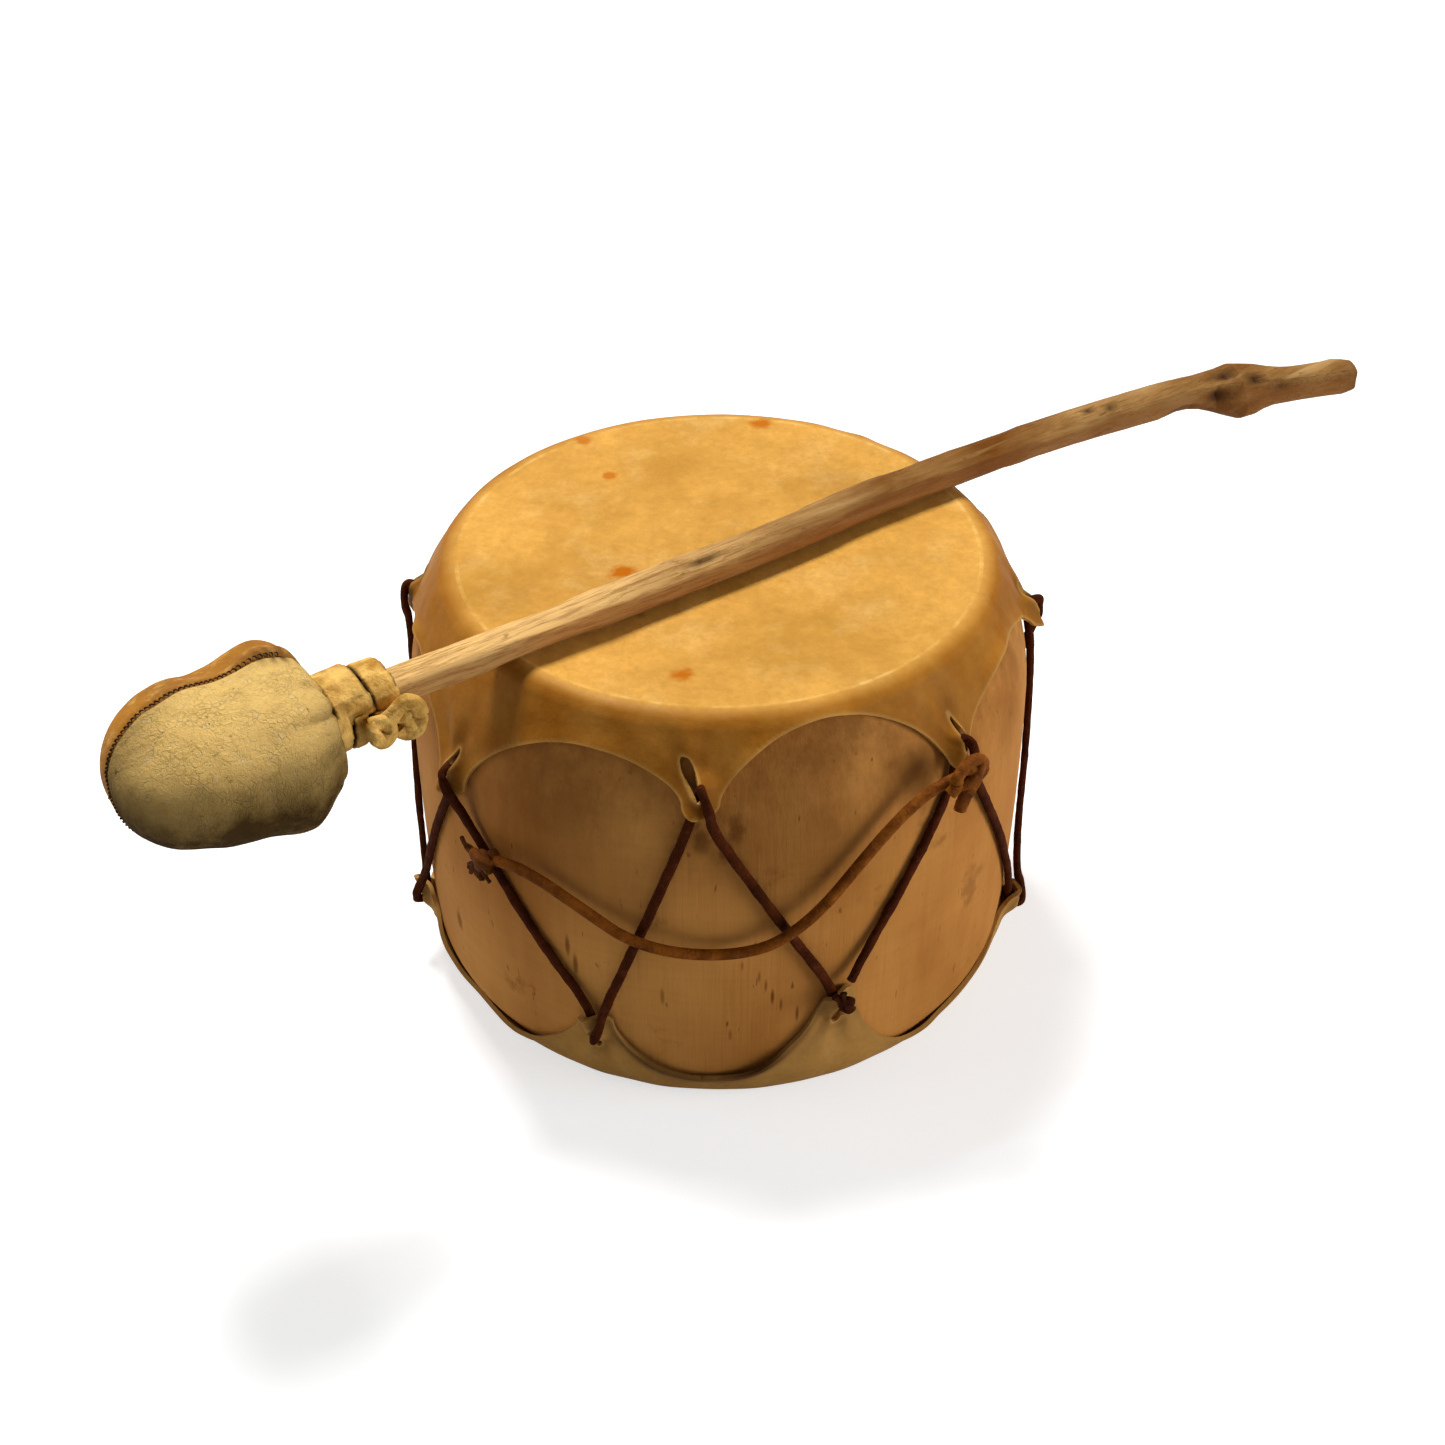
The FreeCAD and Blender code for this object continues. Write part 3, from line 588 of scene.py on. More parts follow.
def strap_leather(name, colour, dark, rough):
    """Leather cut into lace or strap: tanned, oiled and worn, grain side out."""
    material, tree, shader, coords = blank_material(name, Roughness=rough,
                                                    Specular_IOR_Level=0.04)
    worn = noise_mask(tree, coords, 0.007, 0.35, 0.7, 5.0, 0.6)
    light = noise_mask(tree, coords, 0.0026, 0.56, 0.74, 4.0, 0.6)
    lit = [min(1, part * 1.9 + 0.02) for part in colour]
    # The dark_edge attribute paints shade between and under the strap's bands and on the lower
    # carry knot, and darkens worn edges.
    colour = lay_colours(tree, colour, [(worn, 1.0, dark), (light, 0.28, lit),
                                        ("dark_edge", 0.85, "#33190A")])
    grain = noise_mask(tree, coords, 0.0009, 0.3, 0.7, 3.0, 0.7)
    creases = noise_mask(tree, coords, 0.0045, 0.3, 0.7, 3.0, 0.5)
    bumps = add_node(tree, "ShaderNodeMath", {0: grain, 1: 0.35, 2: creases},
                     operation="MULTIPLY_ADD")
    set_surface(tree, shader, colour, bumps, 0.0006, 0.9)
    return material


def branch_wood(finishes):
    """Branch peeled and whittled with a knife: satin, pale, browner at the burl."""
    material, tree, shader, coords = blank_material("whittled_branch_wood", Roughness=0.58,
                                                    Specular_IOR_Level=0.06)
    along = add_node(tree, "ShaderNodeMapping", {"Location": (0, 0, -NECK.z * MM),
                                                 "Rotation": (0, 0, -BEATER_TURN),
                                                 "Vector": coords}, vector_type="POINT")
    far = add_node(tree, "ShaderNodeSeparateXYZ", {0: along})
    brown = add_node(tree, "ShaderNodeMapRange", {"From Min": -0.12, "From Max": 0.05,
                                                  "To Max": 0.9, "Value": far})
    patch = noise_mask(tree, along, 0.03, 0.35, 0.7, 5.0, 0.6, (0.4, 1, 1))
    patch = add_node(tree, "ShaderNodeMath", {0: patch, 1: 0.6, 2: 0.55},
                     operation="MULTIPLY_ADD")
    grain = noise_mask(tree, along, 0.0010, 0.46, 0.62, 4.0, 0.7, (0.07, 1, 1))
    streak = noise_mask(tree, along, 0.004, 0.56, 0.72, 3.0, 0.5, (0.07, 1, 1))
    fleck = noise_mask(tree, along, 0.0024, 0.67, 0.75, 2.0, 0.5, (0.3, 1, 1))
    # The lower front side of the stick is painted darker as shade.
    colour = lay_colours(tree, finishes.branch, [
        (brown, patch, finishes.branch_dark), (grain, 0.55, "#7A4A1A"), (streak, 0.25, "#F0CC88"),
        (fleck, 0.6, "#5A3516"), ("shaded_flank", 0.55, "#7A4519"), ("dark_marks", 1.0, "#3A200E"),
    ])
    bumps = add_node(tree, "ShaderNodeMath", {0: 1.0, 1: grain}, operation="SUBTRACT")
    set_surface(tree, shader, colour, bumps, 0.0002, 0.6)
    return material


def pad_suede(finishes):
    """Brushed suede, flesh side out: pale, darker below and at the far end with painted shade and
    some grime.
    """
    material, tree, shader, coords = blank_material("worn_pale_suede", Roughness=0.92,
                                                    Specular_IOR_Level=0.08)
    far = add_node(tree, "ShaderNodeSeparateXYZ", {0: coords})
    height = add_node(tree, "ShaderNodeSeparateXYZ", {0: coords}, 2)
    # Darker towards the bottom and the far end: painted shade, partly grime.
    low = add_node(tree, "ShaderNodeMapRange", {"From Min": 0.1735, "From Max": 0.1435,
                                                "To Max": 1.22, "Value": height},
                   interpolation_type="SMOOTHSTEP")
    far = add_node(tree, "ShaderNodeMapRange", {"From Min": -0.140, "From Max": -0.158,
                                                "To Max": 0.8, "Value": far})
    low = add_node(tree, "ShaderNodeMath", {0: low, 1: far}, operation="MAXIMUM")
    cloud = noise_mask(tree, coords, 0.022, 0.3, 0.7, 6.0, 0.65)
    cloud = add_node(tree, "ShaderNodeMath", {0: cloud, 1: 0.4, 2: 0.66},
                     operation="MULTIPLY_ADD")
    scuff = noise_mask(tree, coords, 0.006, 0.5, 0.68, 6.0, 0.7)
    pale = noise_mask(tree, coords, 0.0035, 0.58, 0.72, 5.0, 0.7)
    pits = noise_mask(tree, coords, 0.0024, 0.60, 0.68, 5.0, 0.75, (1, 1, 1.6))
    rubbed = noise_mask(tree, coords, 0.013, 0.45, 0.62, 4.0, 0.6)
    # Crackle: creases 2 to 3 mm apart where the leather has stiffened.
    bent = add_node(tree, "ShaderNodeTexNoise", {"Scale": 300.0, "Detail": 3.0,
                                                 "Vector": coords}, "Color")
    bent = add_node(tree, "ShaderNodeMix", {0: 0.003, 4: coords, 5: bent}, 1, data_type="VECTOR")
    crackle = add_node(tree, "ShaderNodeTexVoronoi", {"Scale": 560.0, "Vector": bent}, "Distance",
                       feature="DISTANCE_TO_EDGE")
    crackle = add_node(tree, "ShaderNodeMapRange", {"From Min": 0.10, "From Max": 0.02,
                                                    "Value": crackle})
    stiff = noise_mask(tree, coords, 0.007, 0.40, 0.66, 6.0, 0.7)
    crackle = add_node(tree, "ShaderNodeMath", {0: crackle, 1: stiff}, operation="MULTIPLY")
    # The seam attribute darkens the seam line and paints shade into the gathers.
    colour = lay_colours(tree, finishes.suede, [
        (scuff, 0.4, "#C79A50"), (pale, 0.45, "#F7E3B4"), (low, cloud, finishes.suede_grime_and_shade),
        ("seam_and_painted_shade", 0.85, "#45290E"), (pits, rubbed, "#6B4A1C"), (crackle, 0.22, "#5A3C14"),
    ])
    nap = noise_mask(tree, coords, 0.0007, 0.2, 0.8, 4.0, 0.8)
    lumps = noise_mask(tree, coords, 0.006, 0.2, 0.8, 4.0, 0.6)
    bumps = add_node(tree, "ShaderNodeMath", {0: nap, 1: 0.4, 2: lumps}, operation="MULTIPLY_ADD")
    bumps = add_node(tree, "ShaderNodeMath", {0: crackle, 1: -0.3, 2: bumps},
                     operation="MULTIPLY_ADD")
    set_surface(tree, shader, colour, bumps, 0.0016, 0.9)
    return material


def pad_tan(finishes):
    """Oiled tan leather, grain side out, orange where it is rubbed."""
    material, tree, shader, coords = blank_material("orange_tan_leather", Roughness=0.7,
                                                    Specular_IOR_Level=0.08)
    cloud = noise_mask(tree, coords, 0.018, 0.3, 0.7, 5.0, 0.6)
    rub = noise_mask(tree, coords, 0.005, 0.52, 0.7, 5.0, 0.7)
    # The seam attribute darkens the seam line and paints shade into the gathers.
    colour = lay_colours(tree, finishes.tan, [(cloud, 1.0, "#855720"), (rub, 0.5, "#DDB060"),
                                              ("seam_and_painted_shade", 0.75, "#5C3A18")])
    grain = noise_mask(tree, coords, 0.0011, 0.3, 0.7, 3.0, 0.7)
    lumps = noise_mask(tree, coords, 0.007, 0.2, 0.8, 4.0, 0.6)
    bumps = add_node(tree, "ShaderNodeMath", {0: grain, 1: 0.3, 2: lumps},
                     operation="MULTIPLY_ADD")
    set_surface(tree, shader, colour, bumps, 0.0008, 0.7)
    return material


def pad_fibre(finishes):
    """Packed raw fibre, matt and matted, seen only through the seam."""
    material, tree, shader, coords = blank_material("packed_fibre", Roughness=1.0)
    tufts = noise_mask(tree, coords, 0.002, 0.3, 0.7, 6.0, 0.8)
    colour = lay_colours(tree, finishes.fibre, [(tufts, 1.0, "#8C7E62")])
    set_surface(tree, shader, colour, tufts, 0.001)
    return material


def seam_thread(finishes):
    """Waxed linen thread: dark, round and slightly shiny, its twist 1 mm apart."""
    material, tree, shader, coords = blank_material("waxed_thread", Roughness=0.6,
                                                    Specular_IOR_Level=0.05)
    twist = noise_mask(tree, coords, 0.0008, 0.4, 0.6, 2.0, 0.5)
    colour = lay_colours(tree, finishes.thread, [(twist, 1.0, "#27160A")])
    set_surface(tree, shader, colour, twist, 0.0002)
    return material


class DRUM_OT_stage(bpy.types.Operator):
    """Pale floor, soft studio light and the camera at the photograph's angle"""
    bl_idname = "drum.stage"
    bl_label = "Stage"

    def execute(self, context):
        scene = context.scene
        deselect()
        bpy.ops.mesh.primitive_plane_add(size=12.0)
        floor = newest("floor")
        settle(floor)
        # Paper that the camera sees as white, and that throws less light back.
        material, tree, shader, _ = blank_material("matt_paper_floor", Roughness=0.9,
                                                   Specular_IOR_Level=0.0,
                                                   Base_Color=(0.6, 0.6, 0.6, 1),
                                                   Emission_Color=(1, 1, 1, 1))
        seen = add_node(tree, "ShaderNodeLightPath", output="Is Camera Ray")
        glow = add_node(tree, "ShaderNodeMath", {0: seen, 1: 0.62}, operation="MULTIPLY")
        tree.links.new(glow, shader.inputs["Emission Strength"])
        floor.data.materials.append(material)

        turn = math.radians(CAMERA_TILT)
        away = Vector((0, -math.cos(turn), math.sin(turn))) * CAMERA_AWAY
        bpy.ops.object.camera_add(location=CAMERA_TARGET + away,
                                  rotation=(math.radians(90) - turn, 0, 0))
        camera = newest("camera")
        camera.data.lens = FOCAL_PX / PHOTO_PX * SENSOR
        camera.data.sensor_width = SENSOR
        camera.data.shift_x, camera.data.shift_y = (shift / PHOTO_PX for shift in CAMERA_SHIFT_PX)
        scene.camera = camera

        for name, place, size, power in LAMPS:
            bpy.ops.object.light_add(type="AREA", location=place)
            lamp = newest(name)
            way = CAMERA_TARGET - Vector(place)
            lamp.rotation_euler = way.to_track_quat("-Z", "Y").to_euler()
            lamp.data.size = size
            lamp.data.energy = power
        world = bpy.data.worlds.new("studio")
        scene.world = world
        world.use_nodes = True
        tree = world.node_tree
        light = tree.nodes["Background"]
        light.inputs["Color"].default_value = (1, 1, 1, 1)
        rays = add_node(tree, "ShaderNodeLightPath").node.outputs
        seen = rays["Is Camera Ray"]
        for kind in ("Is Glossy Ray", "Is Transmission Ray"):
            seen = add_node(tree, "ShaderNodeMath", {0: seen, 1: rays[kind]}, operation="MAXIMUM")
        power = add_node(tree, "ShaderNodeMapRange", {"To Min": 0.16, "To Max": 1.0, "Value": seen})
        tree.links.new(power, light.inputs["Strength"])
        scene.view_settings.view_transform = "Standard"
        return {"FINISHED"}


def nurbs_object(name, points, bevel, extrude=0.0, resolution=8):
    """Curve object through a NURBS spline of order 3 with the given control points."""
    deselect()
    bpy.ops.curve.primitive_nurbs_path_add(location=(0, 0, 0))
    piece = newest(name)
    curve = piece.data
    curve.splines.clear()
    spline = curve.splines.new("NURBS")
    spline.points.add(len(points) - 1)
    for point, place in zip(spline.points, points):
        point.co = (*place, 1)
    spline.order_u = 3
    spline.use_endpoint_u = True
    spline.resolution_u = resolution
    curve.dimensions = "3D"
    curve.twist_mode = "Z_UP"
    curve.bevel_depth = bevel
    curve.extrude = extrude
    curve.bevel_resolution = 3
    curve.use_fill_caps = True
    curve.fill_mode = "FULL"
    return piece


def roughen(piece, amount, scale, seed):
    """Push a mesh's points about a little, as hand-cut leather is uneven."""
    for vertex in piece.data.vertices:
        vertex.co += vertex.normal * (amount * wobble(vertex.co / MM, scale, seed))
    piece.data.update()


def tone(piece, value):
    """Give every point of a mesh the same darkness."""
    set_values(piece.data, "dark_edge", [value] * len(piece.data.vertices))


def overhand(size, turn, tails):
    """Centre line of an overhand knot with its two ends led to given places, in mm."""
    path = []
    for step in range(-8, 9):
        t = step / 8 * 2.05
        x = (t ** 3 - 3 * t) * 1.55
        y = (t ** 4 - 4 * t ** 2 + 1.7) * 0.95
        path.append((x * size, y * size, (t ** 5 - 10 * t) * 0.17 * size))
    cos, sin = math.cos(turn), math.sin(turn)
    path = [(x * cos - y * sin, x * sin + y * cos, z) for x, y, z in path]
    for end, tail in zip((0, -1), tails):
        path[end] = (tail[0] * 0.55, tail[1] * 0.55, path[end][2] * 0.4)
    return [(*tails[0], -1.0)] + path + [(*tails[1], 0.5)]


def tie_knot(name, place, angle, half, strands, tufts, seed, dark=0.12):
    """Knot from strands of cord in millimetres, across, up and out from its place.

    A tuft is a frayed end: where it starts, its threads, their reach and their way.
    """
    def at(x, y, z):
        """Point in metres from its place in the knot."""
        return (place + outward(angle + 90) * x + UP * y + outward(angle) * z) * MM

    parts = []
    for strand in strands:
        part = settle(nurbs_object(name, [at(*spot) for spot in strand], half * MM, 0.0003))
        tone(part, dark)
        parts.append(part)
    chance = random.Random(seed)
    for start_x, start_y, count, reach, way in tufts:
        for _ in range(count):
            turn = way + chance.uniform(-0.6, 0.6)
            long = reach * chance.uniform(0.6, 1.1)
            bow = chance.uniform(-0.8, 0.8)
            points = [at(start_x + chance.uniform(-0.8, 0.8), start_y, 0.3)]
            for share in (0.35, 0.7, 1.0):
                points.append(at(start_x + math.cos(turn) * long * share + bow * share ** 2,
                                 start_y + math.sin(turn) * long * share,
                                 0.3 + chance.uniform(-0.8, 0.8)))
            thread = settle(nurbs_object(name + "_thread", points, 0.0007, resolution=4))
            tone(thread, 0.9)
            parts.append(thread)
    knot = join(parts, name)
    roughen(knot, 0.00025, 2.2, seed)
    smooth(knot)
    return knot


def lacing_route():
    """Centre line of the lace in millimetres, once round the drum."""
    tabs = sorted([(a, t * HEIGHT, 1) for a, t, *_ in TOP_TABS]
                  + [(a, t * HEIGHT, -1) for a, t, *_ in BOTTOM_TABS])
    order = tabs[TIED_TAB:] + [(a + 360, t, s) for a, t, s in tabs[:TIED_TAB + 1]]
    points = []
    for (angle, tip, way), (after, after_tip, after_way) in zip(order, order[1:]):
        start, end = tip - way * 3.0, after_tip - after_way * 3.0
        # From beside one tab's tip over the bare wood to the next tab.
        points.append(on_wood(angle, start, 3.7, 3.2))
        for share in (0.22, 0.5, 0.78):
            points.append(on_wood(angle + (after - angle) * share, start + (end - start) * share,
                                  1.75, 3.3 * (1 - 2 * share)))
        # Under the tab, out through its slit and back over the bar at its tip.
        for up, *rest in ((-3.0, 2.1, -3.3), (8.4, 2.3), (8.6, 7.4, 0.4), (2.6, 6.3, 2.6)):
            points.append(on_wood(after, after_tip + after_way * up, *rest))
    # At the tied tab the lace ends in its knot.
    points[-2:] = [on_wood(after, after_tip - 3.0, 9.0, 0.4)]
    return points


class DRUM_OT_lacing(bpy.types.Operator):
    """Flattened leather lace in a zigzag through all fourteen tabs"""
    bl_idname = "drum.lacing"
    bl_label = "Lacing"

    def execute(self, context):
        sizes = context.scene.hide_sizes
        half = sizes.lace_thickness / 2
        route = [point * MM for point in lacing_route()]
        lace = settle(nurbs_object("lace", route, half, sizes.lace_width / 2 - half, 9))
        roughen(lace, 0.00022, 3.5, 3.0)
        smooth(lace)
        finishes = context.scene.finishes
        material = strap_leather("lace_leather", finishes.lace, linear("#2C1004"), 0.85)
        finish_piece(lace, "drum", "lacing", material)

        angle, tip = TIED_AT
        tie = tie_knot("lace_knot", on_wood(angle, tip * HEIGHT - 1.6, 7.4), angle, 0.95,
                       [overhand(0.56, 1.0, [(-3.0, 2.6), (2.4, -3.4)])],
                       [(-0.4, 1.0, 5, 3.6, 1.9)], 11)
        finish_piece(tie, "drum", "lacing_knot", material)
        return {"FINISHED"}


# Strands of the carry cord's knots in mm, across, up and out from each knot's place.
LEFT_KNOT = [
    overhand(1.0, 0.4, [(3.5, 3.5), (-2.5, -4.0)]),
    [(-3.4, 1.0, 1.0), (-1.5, 2.2, 2.4), (2.0, 1.6, 2.6), (4.4, 0.4, 1.2)],
]
LEFT_TUFTS = [(-1.6, -1.0, 40, 7.6, -1.85), (-2.6, -0.5, 3, 7.0, 3.1)]
RIGHT_KNOT = [
    [(-6.5, -3.4, 0.5), (-4.8, -1.6, 1.2), (-5.2, 1.4, 1.4), (-3.4, 4.2, 1.2), (0.4, 5.2, 1.0),
     (4.2, 4.2, 1.4), (6.0, 1.2, 1.4), (5.2, -2.0, 1.0), (2.6, -3.2, 0.2)],
    [(-4.2, -2.4, -0.8), (-1.2, -1.8, 2.2), (1.4, 0.6, 2.9), (3.2, 2.6, 2.4), (5.0, 0.4, 1.0),
     (3.4, -1.8, -0.6)],
    [(-2.6, 3.0, 0.2), (0.9, 3.0, 1.4), (2.0, -0.4, 2.6), (0.6, -4.0, 1.8), (-0.6, -8.0, 0.6),
     (-1.6, -12.0, 0.4)],
]


class DRUM_OT_carry_cord(bpy.types.Operator):
    """Loose leather carry cord with a knot at each end"""
    bl_idname = "drum.carry_cord"
    bl_label = "Carry cord"

    def execute(self, context):
        sizes, finishes = context.scene.hide_sizes, context.scene.finishes
        material = strap_leather("carry_cord_leather", finishes.carry, linear("#55290A"), 0.62)
        route = [(outward(angle) * away + UP * height) * MM for angle, away, height in CARRY_ROUTE]
        cord = nurbs_object("carry_cord_line", route, sizes.carry_diameter / 2, resolution=10)
        first, last = CARRY_ROUTE[0][0], CARRY_ROUTE[-1][0]
        # The lower knot is darkened as painted shade.
        left = tie_knot("carry_knot_lower", route[0] / MM + outward(first) * 0.6, first, 1.5,
                        LEFT_KNOT, LEFT_TUFTS, 21, 0.62)
        right = tie_knot("carry_knot_upper", route[-1] / MM + outward(last) * 0.4, last, 1.7,
                         RIGHT_KNOT, [], 22)
        finish_piece(left, "drum", "carry_knot_left", material)
        finish_piece(right, "drum", "carry_knot_right", material)
        finish_piece(cord, "drum", "carry_cord", material)
        return {"FINISHED"}


def gap_outline(left, right, rise):
    """Outline of the opening between two tabs, in the flat across its middle."""
    middle = (left[0] + right[0]) / 2
    left_x = RADIUS * math.sin(math.radians(left[0] - middle))
    right_x = -left_x
    crown_x = RADIUS * math.sin(math.radians(left[2] - middle))
    foot = rise * TAB_ROUND
    left_z, right_z, crown_z = left[1] * HEIGHT + foot, right[1] * HEIGHT + foot, left[3] * HEIGHT
    # Each corner is a part of an oval: centre, half axes, first and last angle.
    corners = [
        (left_x, left_z, TAB_HALF, foot, -90, 0),
        (crown_x, left_z, crown_x - left_x - TAB_HALF, crown_z - left_z, 180, 90),
        (crown_x, right_z, right_x - TAB_HALF - crown_x, crown_z - right_z, 90, 0),
        (right_x, right_z, TAB_HALF, foot, 180, 270),
    ]
    points = []
    for centre_x, centre_z, wide, tall, first, last in corners:
        turn = np.radians(np.linspace(first, last, 48))
        high = np.abs(np.sin(turn)) ** (1.3 if wide > TAB_HALF else 1.0)
        high = np.copysign(high, np.sin(turn))
        points.append(np.column_stack([centre_x + wide * np.cos(turn), centre_z + tall * high]))
    return middle, np.vstack(points)


def slit_outline(tab):
    """Closed outline of a tab's slit: across, and from the tip towards the rim."""
    angle, _, _, _, near, far, lean = (*tab, 0.0)[:7]
    turn = 2 * np.pi * np.arange(64) / 64
    share = (1 - np.cos(turn)) / 2
    half = (near * (1 - share) + far * share) * np.abs(np.sin(turn)) ** 0.6
    bow = 0.7 * np.sin(np.pi * share) * (1 if angle > 30 else -0.5) + lean * share
    across = np.copysign(half, np.sin(turn)) + bow
    return np.column_stack([across, SLIT_BAR + (SLIT_END - SLIT_BAR) * share])


def nearest_on(points, line, closed=False):
    """Distance to a line of points and the nearest place on it, for each point."""
    ends = np.vstack([line[1:], line[:1]]) if closed else line[1:]
    starts = line if closed else line[:-1]
    best = np.full(len(points), 1e9)
    place = np.zeros((len(points), 2))
    for a, b in zip(starts, ends):
        along = b - a
        size = (along ** 2).sum()
        if size < 1e-12:
            continue
        share = np.clip(((points - a) @ along) / size, 0, 1)[:, None]
        spot = a + share * along
        away = np.hypot(*(points - spot).T)
        near = away < best
        best[near] = away[near]
        place[near] = spot[near]
    return best, place


def inside_loop(points, loop):
    """Which points lie inside a closed outline."""
    inside = np.zeros(len(points), bool)
    for (ax, ay), (bx, by) in zip(loop, np.vstack([loop[1:], loop[:1]])):
        if ay == by:
            continue
        crosses = (points[:, 1] < ay) != (points[:, 1] < by)
        inside ^= crosses & (points[:, 0] < ax + (points[:, 1] - ay) * (bx - ax) / (by - ay))
    return inside


def head_columns(tabs):
    """Angles of the mesh's columns in degrees, close together at the tabs."""
    angles = [tabs[0][0] - 28.0]
    while angles[-1] < angles[0] + 360:
        gap = min(abs(signed(angles[-1] - tab[0])) for tab in tabs)
        angles.append(angles[-1] + (0.29 if gap < 5.6 else 0.45 if gap < 9 else 0.95))
    return np.array(angles[:-1] + [angles[0] + 360])


def cut_lines(tabs, rise, theta, on_side, radius, height):
    """What the arches and slits cut off the grid of a head.

    Gives the points that go, each point's distance in mm to an arch and to a
    slit, and the angle and height that the points near a cut are drawn to.
    """
    gone = np.zeros(len(theta), bool)
    edge_gap = np.full(len(theta), 99.0)
    slit_gap = edge_gap.copy()
    snap = {}
    for tab, after in zip(tabs, tabs[1:] + [(tabs[0][0] + 360,) + tabs[0][1:]]):
        wrapped = (theta - tab[0] + 3) % 360 + tab[0] - 3
        middle, outline = gap_outline(tab, after, rise)
        index = np.flatnonzero(on_side & (wrapped <= after[0] + 3))
        flat_x = RADIUS * np.sin(np.radians(wrapped[index] - middle))
        points = np.column_stack([flat_x, height[index]])
        away, spot = nearest_on(points, outline)
        beyond = -rise * 400.0
        loop = np.vstack([outline, [(outline[-1, 0], beyond), (outline[0, 0], beyond)]])
        gone[index[inside_loop(points, loop)]] = True
        closer = away < edge_gap[index]
        edge_gap[index[closer]] = away[closer]
        for k, place in zip(index[closer], spot[closer]):
            if edge_gap[k] < ARCH_SNAP:
                snap[k] = (middle + math.degrees(math.asin(place[0] / RADIUS)), place[1])
    for tab in tabs:
        wrapped = signed(theta - tab[0])
        tip = tab[1] * HEIGHT
        index = np.flatnonzero(on_side & (np.abs(wrapped) < 9))
        points = np.column_stack([radius[index] * np.radians(wrapped[index]),
                                  rise * (height[index] - tip)])
        outline = slit_outline(tab)
        away, spot = nearest_on(points, outline, True)
        gone[index[inside_loop(points, outline)]] = True
        slit_gap[index] = away
        for k, place, gap in zip(index, spot, away):
            if gap < min(SLIT_SNAP, edge_gap[k]):
                snap[k] = (tab[0] + math.degrees(place[0] / radius[k]), tip + rise * place[1])
    return gone, edge_gap, slit_gap, snap


def hide_lift(tabs, rise, theta, run, side_run, edge_gap, slit_gap, curl):
    """Height in mm of a head's hide above the side line, its ripple and its rolled edges."""
    radius, height, _, _ = side_at(side_run)
    ripple = np.array([wobble((RADIUS * math.cos(a), RADIUS * math.sin(a), h), 14.0, 5.0 + rise)
                       for a, h in zip(np.radians(theta), height)])
    away = bell(edge_gap / 2.6) * (0.55 + 0.9 * ripple) * curl
    away += bell(slit_gap / 1.3) * (0.4 + 0.5 * ripple)
    away += 0.35 * ripple * smoothstep(run / 14)
    # The lower head's arch edges are rolled, most in the front arch.
    front = np.exp(-(signed(theta) / 19.5) ** 8)
    roll = bell(np.clip(edge_gap - front, 0, None) / (1.0 + 1.6 * front)) * (rise < 0)
    roll *= 0.35 + 0.65 * front
    away += roll * front * 0.4
    for number, tab in enumerate(tabs):
        across = radius * np.radians(signed(theta - tab[0]))
        inward = (run_at(tab[1] * HEIGHT) - side_run) * rise
        near = (np.abs(across) < 40) & (run > 0)
        # The lace under the tab lifts it along a slanted line, this wide and tall in mm.
        x, y, wide, tall = across + 3.4, inward + 3, 3.4, 11.4
        share = np.clip((x * wide + y * tall) / (wide ** 2 + tall ** 2), 0, 1)
        away += near * 4.1 * bell(np.hypot(x - wide * share, y - tall * share) / 3.5)
        # Folds fan out from the slit, where the lace pulls.
        fan = np.arctan2(across, inward - 6)
        folds = np.cos(fan * (7.5 + number % 3) + number * 1.3)
        away += near * (inward > 6) * 0.5 * bell((inward - 20) / 11, fan / 0.75) * folds
    return away * np.where(run > 0, smoothstep(run / 5), 0), ripple, roll


